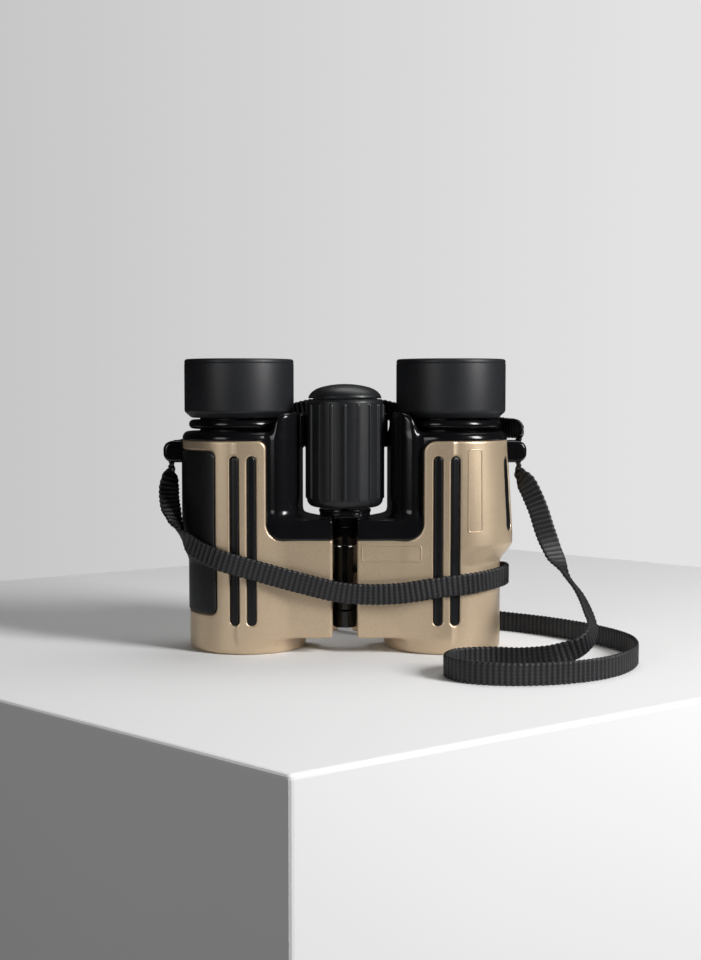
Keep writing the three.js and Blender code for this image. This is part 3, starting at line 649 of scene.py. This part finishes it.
def insertField(side, which):
    def field(x, y, z):
        outer = bodyField(x, y, z, side)
        bar = grooveShape(x, y, z, side, which, grooveHalf(which) - rubber["slack"])
        face = both(bar, outer + rubber["sink"], rubber["round"])
        return np.maximum(face, -outer - groove["depth"] + rubber["floor"])

    return field


for hand, side in hands.items():
    for which in groovesOf(side):
        node = f"{hand}_{which}_insert"
        low, high = aroundNode(node)
        high = high + [shell["sideSwell"] if which == "side" else 0, 0, 0]
        name = f"{hand}{which.title()}Insert"
        piece = carvedPiece(name, insertField(side, which), low, high, rubber["step"], finish["insert"])
        settle(piece, f"{hand}_half", "insert", node)


def gripField(x, y, z):
    outer = bodyField(x, y, z, -1)
    face = both(gripShape(x, y, z, -rubber["gripSlack"]), outer - grip["proud"], rubber["gripRound"])
    return np.maximum(face, -outer - grip["depth"] + rubber["floor"])


low, high = aroundNode("left_side_grip")
piece = carvedPiece("leftSideGrip", gripField, low, high, rubber["gripStep"], finish["grip"])
settle(piece, "left_half", "insert", "left_side_grip")
print("inserts and grip made")


# Plain raised outlines, a lying one on the right block and an upright one on the right housing.
outline = {"block": (5.2, 23.0, 28.5, 33.2), "housing": (4.9, 9.3, 37.4, 62.2), "corner": 0.5, "rise": 0.2,
           "half": 0.24, "samples": 160}


# A rod of round section follows a rectangle with round corners, then moves onto the surface.
def outlinePoints(name):
    low, high, bottom, top = outline[name]
    c = outline["corner"]
    bend = np.linspace(0, math.pi / 2, 5)
    centres = [(high - c, top - c), (low + c, top - c), (low + c, bottom + c), (high - c, bottom + c)]
    arcs = [bend + quarter * math.pi / 2 for quarter in range(4)]
    path = np.concatenate([
        np.stack([a + c * np.cos(arc), b + c * np.sin(arc)], -1) for (a, b), arc in zip(centres, arcs)
    ])
    path = np.concatenate([path, path[:1]])
    run = np.concatenate([[0], np.cumsum(np.linalg.norm(np.diff(path, axis=0), axis=1))])
    even = np.linspace(0, run[-1], outline["samples"], endpoint=False)
    path = np.stack([np.interp(even, run, path[:, k]) for k in range(2)], -1)
    along = np.roll(path, -1, 0) - np.roll(path, 1, 0)
    along /= np.linalg.norm(along, axis=1)[:, None]
    sideways = np.stack([along[:, 1], -along[:, 0]], -1)
    swing = np.linspace(0, 2 * math.pi, 8, endpoint=False)
    flat = path[:, None] + sideways[:, None] * (np.cos(swing) * outline["half"])[None, :, None]
    rise = np.broadcast_to(np.sin(swing) * outline["rise"], flat.shape[:2])
    z = flat[..., 1]
    if name == "block":
        turn = np.zeros_like(z)
        x, y = flat[..., 0], body["front"] + turn
    else:
        turn = flat[..., 0] / body["housingRadius"]
        x = body["housingX"] + body["housingRadius"] * np.sin(turn)
        y = -body["housingRadius"] * np.cos(turn)
    for _ in range(6):
        distance = bodyField(x, y, z, 1) - rise
        x, y = x - distance * np.sin(turn), y + distance * np.cos(turn)
    return np.stack([x, y, z], -1)


for name in ("block", "housing"):
    points = outlinePoints(name)
    faces = gridFaces(points.shape[0], points.shape[1], True, True)
    piece = putMesh(f"right{name.title()}Outline", points, faces, finish["paint"])
    settle(piece, "right_half", "shell")


# Eyecups, rings and lenses.
cup = {"radius": 17.0, "low": boxOf("left_eyecup")[0][2], "top": boxOf("left_eyecup")[1][2], "bore": 14.4,
       "ledge": 8.0, "hole": 10.8, "ringBore": 12.6}
for hand, side in hands.items():
    x = side * body["eyeX"]
    low, top, r = cup["low"], cup["top"], cup["radius"]
    ledge = top - cup["ledge"]
    corners = [
        (cup["bore"], low, 0.2), (r - 2.1, low, 1.2), (r, low + 1.9, 1.2),
        (r, top - 1.45, 0.12), (r - 0.16, top - 1.4, 0.1), (r - 0.16, top - 1.3, 0.1),
        (r - 0.03, top - 1.24, 0.1), (r - 0.06, top, 0.75), (r - 2.0, top, 0.5),
        (r - 3.1, top - 1.2, 0.8), (r - 3.7, ledge + 1.6, 0.5), (cup["hole"], ledge + 1.6, 0.3),
        (cup["hole"], ledge, 0.3), (cup["bore"], ledge, 0),
    ]
    piece = turnedPiece(f"{hand}Eyecup", corners, finish["eyecup"], x, sides=160)
    settle(piece, f"{hand}_eyecup", "eyecup", f"{hand}_eyecup")

    node = "left_neck_ring" if side < 0 else "right_diopter_ring"
    (left, _, low), (right, _, top) = boxOf(node)
    bore, ringRadius = cup["ringBore"], (right - left) / 2
    corners = [(bore, low, 0.2), (ringRadius, low, 1.3), (ringRadius, top, 1.3), (bore, top, 0.2)]
    piece = turnedPiece(f"{hand}NeckRing", corners, finish["frame"], x)
    settle(piece, "left_half" if side < 0 else "diopter_ring", "ring", node)

    (_, _, low), (_, _, top) = boxOf(f"{hand}_eye_lens")
    corners = [(0, low, 0), (5, low + 0.35, 0), (10.3, low + 1.4, 0.2), (10.3, top - 1.4, 0.2),
               (7, top - 0.62, 2), (3.5, top - 0.15, 2), (0, top, 0)]
    piece = turnedPiece(f"{hand}EyeLens", corners, finish["lens"], x, closed=False)
    settle(piece, "left_half" if side < 0 else "right_eyepiece", "glass", f"{hand}_eye_lens")

    x = side * body["barrelX"]
    (_, _, low), (_, _, top) = boxOf(f"{hand}_objective_crown")
    corners = [(0, low, 0), (7, low + 0.35, 12), (13.95, low + 1.4, 0.2), (13.95, low + 3.6, 0.2),
               (7, top - 0.4, 8), (0, top, 0)]
    piece = turnedPiece(f"{hand}ObjectiveLens", corners, finish["lens"], x, closed=False)
    settle(piece, f"{hand}_half", "glass", f"{hand}_objective_crown")
print("eyepieces made")


# Focus knob.
knob = {"ribs": 18, "radius": 11.75, "ribHeight": 0.55, "ribHalf": 0.5, "ribLow": 46.9, "ribHigh": 76.0,
        "columns": 432, "bore": 9.9, "fine": 0.16}


# Radius as a function of turn and height. The profile is a sleeve with a round lower lip, and
# each rib adds a ridge that falls away with the distance from its own upright centre line.
def knobSurface():
    (_, _, low), (_, _, top) = boxOf("knob_grip")
    lip = [(knob["bore"], low + 0.75, 0), (knob["bore"], low + 0.2, 0), (8.5, low + 0.2, 0),
           (8.5, low, 0.1), (8.9, low, 0), (9.0, low + 0.12, 0), (9.15, low, 0),
           (knob["radius"], low, 2.5), (knob["radius"], low + 2.9, 0)]
    side = roundedProfile(lip, 10)[1:]
    fine = knob["fine"]
    start = np.arange(knob["ribLow"] - 0.6, knob["ribLow"] + 1.2, fine)
    end = np.arange(knob["ribHigh"] - 1.2, knob["ribHigh"] + 0.6, fine)
    middle = np.linspace(start[-1] + fine, end[0] - fine, 40)
    heights = np.concatenate([start, middle, end])
    heights = heights[heights > side[-1][1] + 0.05]
    wall = np.stack([np.full(len(heights), knob["radius"]), heights], -1)
    shoulder = np.array([(knob["radius"] - 0.1, top - 0.62), (knob["radius"] - 0.28, top - 0.3),
                         (knob["radius"] - 0.45, top - 0.06), (knob["radius"] - 0.62, top),
                         (knob["bore"], top)])
    profile = np.concatenate([side, wall, shoulder])
    turn = np.linspace(0, 2 * math.pi, knob["columns"], endpoint=False)[:, None]
    pitch = 2 * math.pi / knob["ribs"]
    offset = (turn / pitch - np.round(turn / pitch)) * pitch * knob["radius"]
    line = np.clip(profile[:, 1], knob["ribLow"] + knob["ribHalf"], knob["ribHigh"] - knob["ribHalf"])
    away = np.hypot(offset, profile[:, 1] - line)
    ridge = knob["ribHeight"] * np.sqrt(np.clip(1 - (away / knob["ribHalf"]) ** 2, 0, 1)) ** 0.8
    radius = profile[:, 0] + ridge
    lift = turn - math.pi / 2
    x, y = radius * np.cos(lift), body["hingeY"] + radius * np.sin(lift)
    return np.stack([x, y, profile[:, 1] + 0 * turn], -1)


points = knobSurface()
faces = gridFaces(points.shape[0], points.shape[1], True, True)
piece = putMesh("knobSleeve", points, faces, finish["knob"])
settle(piece, "focus_knob", "knob", "knob_grip")
low = boxOf("knob_cap")[0][2]
dome = [(11.25, 0.05), (11.2, 0.5), (10.85, 1.2), (10.1, 2.05), (8.9, 2.85), (7.5, 3.4), (5.85, 3.82),
        (5.6, 3.86), (4.2, 4.12), (2.2, 4.34), (0, 4.42)]
corners = [(0, low, 0), (11.0, low, 0)] + [(r, low + rise, 0) for r, rise in dome]
piece = turnedPiece("knobCap", corners, finish["knob"], 0, body["hingeY"], closed=False)
settle(piece, "focus_knob", "knob", "knob_cap")
(_, _, low), (_, _, top) = boxOf("knob_collar")
corners = [(2.7, low, 0), (7.8, low, 0.3), (7.8, low + 1.1, 0.1), (7.5, low + 1.25, 0.1), (8.0, low + 1.4, 0.1),
           (8.0, top, 0.3), (2.7, top, 0)]
piece = turnedPiece("knobCollar", corners, finish["frame"], 0, body["hingeY"])
settle(piece, "left_half", "frame", "knob_collar")


# Hinge line.
knuckle = {"radius": 3.56, "step": 0.16, "tongueHalf": 1.5, "shaft": 2.55, "pin": 1.65,
           "stripThick": 0.45, "stripFrom": -68.0, "stripTo": 46.0}


def knuckleField(low, top, side, bore):
    def field(x, y, z):
        away = disc(x, y, 0, body["hingeY"], knuckle["radius"])
        drum = both(away, between(z, low, top), 0.2)
        half = knuckle["tongueHalf"]
        tongue = np.maximum(between(side * x, half, body["bridgeX"] + 0.15),
                            between(y, body["hingeY"] - half, body["hingeY"] + half))
        tongue = np.maximum(tongue, between(z, low + 0.5, top - 0.5))
        return less(either(drum, tongue, 0.3), disc(x, y, 0, body["hingeY"], bore))

    return field


for node, side, bore in (("left_upper_knuckle", -1, "shaft"), ("right_upper_knuckle", 1, "shaft"),
                         ("right_lower_knuckle", 1, "pin"), ("hinge_end_cap", -1, "pin")):
    (_, _, low), (_, _, top) = boxOf(node)
    reach = np.array([body["bridgeX"] + 0.5, 4, 0.5])
    centre = np.array([0, body["hingeY"], (low + top) / 2])
    half = np.array([0, 0, (top - low) / 2])
    owner = "left_half" if side < 0 else "right_half"
    name = "".join(word.title() if i else word for i, word in enumerate(node.split("_")))
    field = knuckleField(low, top, side, knuckle[bore])
    start, end = centre - half - reach, centre + half + reach
    piece = carvedPiece(name, field, start, end, knuckle["step"], finish["frame"])
    settle(piece, owner, "frame", node)


# The strip in front of the focus nut: part of a tube with soft edges.
def stripField(x, y, z):
    (_, _, low), (_, _, top) = boxOf("hinge_cover_strip")
    away = np.hypot(x, y - body["hingeY"])
    tube = between(away, knuckle["radius"] - knuckle["stripThick"], knuckle["radius"])
    turn = np.degrees(np.arctan2(x, body["hingeY"] - y))
    ends = np.radians(between(turn, knuckle["stripFrom"], knuckle["stripTo"])) * knuckle["radius"]
    return both(both(tube, ends, 0.1), between(z, low, top), 0.15)


low, high = aroundNode("hinge_cover_strip")
low, high = low - [0.4, 0.3, 0], high + [0.4, 0.9, 0]
piece = carvedPiece("hingeCoverStrip", stripField, low, high, knuckle["step"], finish["frame"])
settle(piece, "left_half", "frame", "hinge_cover_strip")
print("knob and hinge made")


# Bridge behind the knob, strap lugs.
bridge = {"inner": 13.2, "outer": 14.6, "middle": 14.0, "from": 22, "to": 200, "edge": 0.4, "round": 0.5,
          "step": 0.3}
lug = {"drum": 2.9, "flank": 1.2, "root": 40, "slotIn": 2.05, "slotHalf": 3.5, "slotThick": 0.85,
       "slotCorner": 0.7, "slotEdge": 0.35, "step": 0.28}


def rearBridgeField(x, y, z):
    low, high = boxOf("rear_bridge")
    band = between(np.hypot(x, y - body["hingeY"]), bridge["inner"], bridge["outer"])
    turn = np.arctan2(y - body["hingeY"], x)
    turn = np.where(turn < -math.pi / 2, turn + 2 * math.pi, turn)
    ends = between(turn, math.radians(bridge["from"]), math.radians(bridge["to"])) * bridge["middle"]
    return both(both(band, ends, bridge["edge"]), between(z, low[2], high[2]), bridge["round"])


low, high = aroundNode("rear_bridge")
piece = carvedPiece("rearBridge", rearBridgeField, low, high, bridge["step"], finish["frame"])
settle(piece, "left_half", "frame", "rear_bridge")


def lugField(side):
    low, high = boxOf("left_strap_lug" if side < 0 else "right_strap_lug")
    tip = max(abs(low[0]), abs(high[0]))

    def field(x, y, z):
        out = side * x
        ear = both(out - tip, between(z, low[2], high[2]), lug["drum"])
        ear = both(np.maximum(ear, lug["root"] - out), np.abs(y) - high[1], lug["flank"])
        slot = roundedPlate(y, out - tip + lug["slotIn"], lug["slotHalf"], lug["slotThick"], lug["slotCorner"])
        shoulder = barrelField(x, y, z, side) - (grip["proud"] + 0.05 if side < 0 else -0.3)
        return less(less(ear, slot, lug["slotEdge"]), shoulder)

    return field


for hand, side in hands.items():
    node = f"{hand}_strap_lug"
    low, high = aroundNode(node)
    piece = carvedPiece(f"{hand}StrapLug", lugField(side), low, high, lug["step"], finish["frame"])
    settle(piece, f"{hand}_half", "frame", node)
print("bridge and lugs made")


# Straps.
# Each row is a place on the webbing's middle line and the direction that its width points in.
neckRoute = [
    (-0.0543, 0, 0.0606, 0, 1, 0),
    (-0.0543, 0, 0.058, 0, 1, 0),
    (-0.0543, 0, 0.0558, 0.1, 1, 0),
    (-0.0546, -0.0008, 0.0528, 0.7, 0.7, 0),
    (-0.0548, -0.0026, 0.049, 1, 0.3, 0),
    (-0.054, -0.006, 0.0445, 1, 0.3, 0),
    (-0.0522, -0.0094, 0.04, 0.6, 0.7, -0.2),
    (-0.05, -0.0126, 0.0364, 0.3, 0.5, -0.7),
    (-0.0462, -0.016, 0.033, 0, 0.1, -1),
    (-0.0382, -0.0197, 0.0294, 0, 0, -1),
    (-0.0272, -0.02, 0.0262, 0, 0, -1),
    (-0.0135, -0.0193, 0.0223, 0, 0, -1),
    (0, -0.019, 0.0192, 0, 0, -1),
    (0.015, -0.0195, 0.019, 0, 0, -1),
    (0.028, -0.02, 0.0209, 0, 0, -1),
    (0.041, -0.0169, 0.0223, 0, 0, -1),
    (0.0498, -0.006, 0.0231, 0, 0, -1),
    (0.0498, 0.006, 0.0226, 0, 0, -1),
    (0.042, 0.0162, 0.021, 0, 0, -1),
    (0.029, 0.0206, 0.0176, 0, 0, -1),
    (0.015, 0.0218, 0.013, 0, 0, -1),
    (0.003, 0.0252, 0.0088, 0, 0, -1),
    (-0.004, 0.0334, 0.0054, 0, 0, -1),
    (-0.001, 0.0424, 0.0036, 0, 0, -1),
    (0.009, 0.0466, 0.0032, 0, 0, -1),
    (0.024, 0.044, 0.0032, 0, 0, -1),
    (0.038, 0.0372, 0.0032, 0, 0, -1),
    (0.052, 0.0282, 0.0032, 0, 0, -1),
    (0.067, 0.016, 0.0032, 0, 0, -1),
    (0.0796, 0, 0.0032, 0, 0, -1),
    (0.0864, -0.018, 0.0032, 0, 0, -1),
    (0.0844, -0.036, 0.0032, 0, 0, -1),
    (0.075, -0.0515, 0.0032, 0, 0, -1),
    (0.061, -0.0606, 0.0032, 0, 0, -1),
    (0.0457, -0.0632, 0.0032, 0, 0, -1),
    (0.0334, -0.0594, 0.0032, 0, 0, -1),
    (0.0284, -0.05, 0.0032, 0, 0, -1),
    (0.032, -0.0412, 0.0032, 0, 0, -1),
    (0.041, -0.0382, 0.0032, 0, 0, -1),
    (0.051, -0.0418, 0.0036, 0, 0, -1),
    (0.0603, -0.046, 0.0054, 0, 0, -1),
    (0.0674, -0.0456, 0.008, 0.2, 0.3, -1),
    (0.071, -0.04, 0.011, 0.4, 0.4, -0.8),
    (0.0714, -0.0335, 0.0146, 0.6, 0.5, -0.6),
    (0.0696, -0.0255, 0.0202, 0.6, 0.6, -0.6),
    (0.0667, -0.02, 0.0244, 0.5, 0.7, -0.5),
    (0.0636, -0.014, 0.0306, 0.9, 0.3, 0),
    (0.0615, -0.0095, 0.0369, 1, 0, 0.2),
    (0.0597, -0.006, 0.0435, 1, 0, 0.2),
    (0.057, -0.0028, 0.0502, 0.9, -0.4, 0.2),
    (0.0547, -0.0004, 0.0542, 0.4, -0.9, 0),
    (0.0543, 0, 0.0566, 0, -1, 0),
    (0.0543, 0, 0.0584, 0, -1, 0),
    (0.0543, 0, 0.0606, 0, -1, 0),
]
backRoute = [
    (0.0543, 0, 0.065, 0, 1, 0),
    (0.0549, 0.0006, 0.0662, 0, 1, -0.2),
    (0.0548, 0.0046, 0.0678, 0, 0.7, -0.8),
    (0.0514, 0.0128, 0.0682, 0, 0, -1),
    (0.0424, 0.0192, 0.0696, 0, 0, -1),
    (0.031, 0.0208, 0.0704, 0, 0, -1),
    (0.02, 0.0186, 0.072, 0, 0, -1),
    (0.012, 0.015, 0.074, 0, 0, -1),
    (0, 0.0126, 0.0754, 0, 0, -1),
    (-0.012, 0.015, 0.074, 0, 0, -1),
    (-0.02, 0.0186, 0.0718, 0, 0, -1),
    (-0.031, 0.021, 0.0684, 0, 0, -1),
    (-0.041, 0.02, 0.065, 0, 0, -1),
    (-0.0484, 0.016, 0.0626, 0, 0, -1),
    (-0.052, 0.011, 0.0615, 0, 0, -1),
    (-0.0532, 0.0074, 0.0612, 0, 0, -1),
    (-0.0534, 0.0048, 0.0612, 0, 0, -1),
]


# A smooth curve through every row. Its knots are spaced by the square root of the distance
# between rows, which keeps tight places from overshooting. Returns evenly spaced samples.
def routeCurve(route, perSpan=40):
    rows = np.array(route, float)
    rows[:, :3] /= mm
    rows = np.concatenate([[2 * rows[0] - rows[1]], rows, [2 * rows[-1] - rows[-2]]])
    gap = np.sqrt(np.linalg.norm(np.diff(rows[:, :3], axis=0), axis=1))
    knot = np.concatenate([[0], np.cumsum(gap)])
    t = np.concatenate([np.linspace(knot[i], knot[i + 1], perSpan, endpoint=False)
                        for i in range(1, len(rows) - 2)])
    t = np.append(t, knot[-2])
    i = np.clip(np.searchsorted(knot, t, side="right") - 1, 1, len(rows) - 3)

    def mix(a, b, ta, tb):
        return ((tb - t) / (tb - ta))[:, None] * a + ((t - ta) / (tb - ta))[:, None] * b

    t0, t1, t2, t3 = knot[i - 1], knot[i], knot[i + 1], knot[i + 2]
    p0, p1, p2, p3 = rows[i - 1, :3], rows[i, :3], rows[i + 1, :3], rows[i + 2, :3]
    a1, a2, a3 = mix(p0, p1, t0, t1), mix(p1, p2, t1, t2), mix(p2, p3, t2, t3)
    line = mix(mix(a1, a2, t0, t2), mix(a2, a3, t1, t3), t1, t2)
    share = smoothStep((t - t1) / (t2 - t1))[:, None]
    width = rows[i, 3:] * (1 - share) + rows[i + 1, 3:] * share
    run = np.concatenate([[0], np.cumsum(np.linalg.norm(np.diff(line, axis=0), axis=1))])
    count = int(run[-1] / webbing["pitch"] * webbing["rowsPerRib"]) + 1
    even = np.linspace(0, run[-1], count)
    line = np.stack([np.interp(even, run, line[:, k]) for k in range(3)], -1)
    width = np.stack([np.interp(even, run, width[:, k]) for k in range(3)], -1)
    return line, width, even


# A flat section carried along the route. Across it, the two faces are nearly flat and the
# edges round. Ribs lie across the webbing as a wave along it, broken into bundles of yarn that
# swap between neighbours, and the two edges carry a finer wave of their own.
def webbingSurface(route):
    line, width, run = routeCurve(route)
    tangent = np.gradient(line, axis=0)
    tangent /= np.linalg.norm(tangent, axis=1)[:, None]
    width = width - (width * tangent).sum(1)[:, None] * tangent
    width /= np.linalg.norm(width, axis=1)[:, None]
    face = np.cross(tangent, width)
    half, thick = webbing["width"] / 2, webbing["thick"] / 2
    n = webbing["across"]
    top = np.linspace(-1, 1, n)
    turn = np.linspace(0, math.pi, 6)[1:-1]
    flat = half - thick
    bulge, drop = thick * np.sin(turn), thick * np.cos(turn)
    across = np.concatenate([top * flat, flat + bulge, -top * flat, -flat - bulge])
    height = np.concatenate([np.full(n, thick), drop, np.full(n, -thick), -drop])
    phase = 2 * math.pi * run[:, None] / webbing["pitch"]
    bundle = across / webbing["width"] * webbing["bundles"] * 2 * math.pi
    upper = np.sign(height)
    wave = np.abs(np.cos(phase / 2 + np.where(upper > 0, 0, math.pi / 2))) ** 1.3
    yarn = 0.5 + 0.5 * np.cos(bundle) * np.cos(phase / 2)
    onFace = np.clip(np.abs(height) / thick, 0, 1)
    swell = webbing["rib"] * ((wave - 0.6) * 1.5 + 0.35 * (yarn - 0.5)) * onFace
    edge = 0.16 * (1 - onFace) * np.cos(phase)
    tall = height + upper * swell
    wide = across + np.sign(across) * edge
    points = line[:, None] + wide[..., None] * width[:, None] + tall[..., None] * face[:, None]
    ribCount = run[:, None] / webbing["pitch"] + np.where(upper > 0, 0, 0.5)
    widthShare = np.broadcast_to(across / webbing["width"] + 0.5, ribCount.shape)
    uv = np.stack([ribCount, widthShare], -1)
    return line, points, uv


def strapPiece(name, node, route):
    line, points, uv = webbingSurface(route)
    rows, columns = points.shape[:2]
    ends = [points[:1].mean(1), points[-1:].mean(1)]
    faces = gridFaces(rows, columns, False, True)
    closed = np.concatenate([points.reshape(-1, 3), ends[0], ends[1]])
    c = np.arange(columns)
    nextC = (c + 1) % columns
    first, last = rows * columns, rows * columns + 1
    capA = np.stack([np.full(columns, first), nextC, c, c], -1)
    capB = np.stack([np.full(columns, last), (rows - 1) * columns + c, (rows - 1) * columns + nextC,
                     (rows - 1) * columns + nextC], -1)
    uv = np.concatenate([uv.reshape(-1, 2), uv[0, :1], uv[-1, :1]])
    piece = putMesh(name, closed, np.concatenate([faces, capA, capB]), finish["webbing"], uv=uv)
    weld(piece, 0.000001)
    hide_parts(node)
    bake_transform(piece)


strapPiece("neckStrapWebbing", "neck_strap", neckRoute)
strapPiece("backStrapWebbing", "back_strap", backRoute)


# The frame's own nodes that stay.
def refinish(node, kind):
    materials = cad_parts[node].data.materials
    materials.clear()
    materials.append(finish[kind])


pairedFinish = {
    "anodised": ("objective_cell", "focus_carrier", "prism_shelf", "eyepiece_tube", "eyecup_carrier"),
    "steel": ("focus_arm",),
    "lens": ("objective_flint", "focus_lens", "half_penta_prism", "roof_prism", "field_lens"),
}
for kind, names in pairedFinish.items():
    for name in names:
        for hand in hands:
            refinish(f"{hand}_{name}", kind)
for name in ("hinge_tube", "hinge_pin", "focus_nut", "focus_screw"):
    refinish(name, "steel")
refinish("knob_core", "anodised")
print("frame nodes finished")


# Camera, plinth and light.
camera = {"lens": 54.0, "place": (0.00172, -0.45, 0.08025), "tilt": 3.576}
eye = bpy.data.cameras.new("camera")
eye.lens, eye.sensor_width, eye.clip_start = camera["lens"], 36, 0.01
viewer = bpy.data.objects.new("camera", eye)
viewer.location = camera["place"]
viewer.rotation_euler = (math.radians(90 - camera["tilt"]), 0, 0)
bpy.context.scene.collection.objects.link(viewer)
bpy.context.scene.camera = viewer


# A pale plinth with one corner towards the camera, its top at height zero, with pale air behind.
def plinth():
    corner, left, right = np.array([-11.0, -154.0]), np.array([-255.0, 75.0]), np.array([300.0, 70.0])
    outline = np.array([corner, right, right + left - corner, left])
    points = np.array([[x, y, z] for z in (-420.0, 0.0) for x, y in outline])
    faces = np.array([[0, 3, 2, 1], [4, 5, 6, 7], [0, 1, 5, 4], [1, 2, 6, 5], [2, 3, 7, 6], [3, 0, 4, 7]])
    block = putMesh("plinth", points, faces, paleFinish("plinthWhite", 239), smooth=False)
    rim = block.modifiers.new("rim", "BEVEL")
    rim.width, rim.segments = 0.0012, 3


def paleFinish(name, tone):
    material, nodes, links, shader = newMaterial(name, Roughness=0.8, Specular_IOR_Level=0.1)
    low, high = linear(tone - 4, tone - 4, tone - 4), linear(tone, tone, tone)
    shade = mixColours(nodes, links, noiseOn(nodes, links, 4), low, high)
    links.new(shade, shader.inputs["Base Color"])
    return material


plinth()


def softLight(name, place, target, size, power, tint=(1, 1, 1)):
    lamp = bpy.data.lights.new(name, "AREA")
    lamp.shape, lamp.size, lamp.size_y = "RECTANGLE", size[0], size[1]
    lamp.energy, lamp.color = power, tint
    obj = bpy.data.objects.new(name, lamp)
    obj.location = place
    obj.rotation_euler = (Vector(target) - Vector(place)).to_track_quat("-Z", "Y").to_euler()
    bpy.context.scene.collection.objects.link(obj)
    return obj


softLight("keyLight", (0.66, -0.44, 0.43), (0, 0, 0.045), (0.22, 0.4), 9.4)
softLight("fillLight", (-0.7, -0.9, 0.3), (0, 0, 0.0), (0.4, 0.5), 2.6)
softLight("topLight", (0.15, 0.3, 0.9), (0, 0, 0.03), (0.7, 0.5), 3.0)

# The air is seen as pale grey with a painted light falloff, darker towards the left and lighter towards the
# right. What it sheds on the object is brighter from behind and above.
world = bpy.data.worlds.new("studioAir")
world.use_nodes = True
nodes, links = world.node_tree.nodes, world.node_tree.links
sky = nodes["Background"]
seen = nodes.new("ShaderNodeBackground")
ray = nodes.new("ShaderNodeLightPath")
choice = nodes.new("ShaderNodeMixShader")
place = nodes.new("ShaderNodeTexCoord")
parts = nodes.new("ShaderNodeSeparateXYZ")
links.new(place.outputs["Generated"], parts.inputs["Vector"])
spread = nodes.new("ShaderNodeMapRange")
spread.inputs["From Min"].default_value, spread.inputs["From Max"].default_value = -0.35, 0.9
spread.inputs["To Min"].default_value, spread.inputs["To Max"].default_value = 0.06, 0.42
links.new(parts.outputs["Y"], spread.inputs["Value"])
# Painted light falloff on the backdrop: its grey goes from darker at the left to lighter at the right.
swing = nodes.new("ShaderNodeMapRange")
swing.inputs["From Min"].default_value, swing.inputs["From Max"].default_value = -0.24, 0.2
links.new(parts.outputs["X"], swing.inputs["Value"])
paintedShadeGrey, paintedLitGrey = linear(198, 198, 199), linear(227, 227, 227)
across = mixColours(nodes, links, swing.outputs["Result"], paintedShadeGrey, paintedLitGrey, 0.0, 1.0)
links.new(across, seen.inputs["Color"])
links.new(spread.outputs["Result"], sky.inputs["Strength"])
links.new(ray.outputs["Is Camera Ray"], choice.inputs["Fac"])
links.new(sky.outputs["Background"], choice.inputs[1])
links.new(seen.outputs["Background"], choice.inputs[2])
links.new(choice.outputs["Shader"], nodes["World Output"].inputs["Surface"])
bpy.context.scene.world = world
bpy.context.scene.view_settings.view_transform = "Standard"
print("studio set")

bpy.context.view_layer.update()
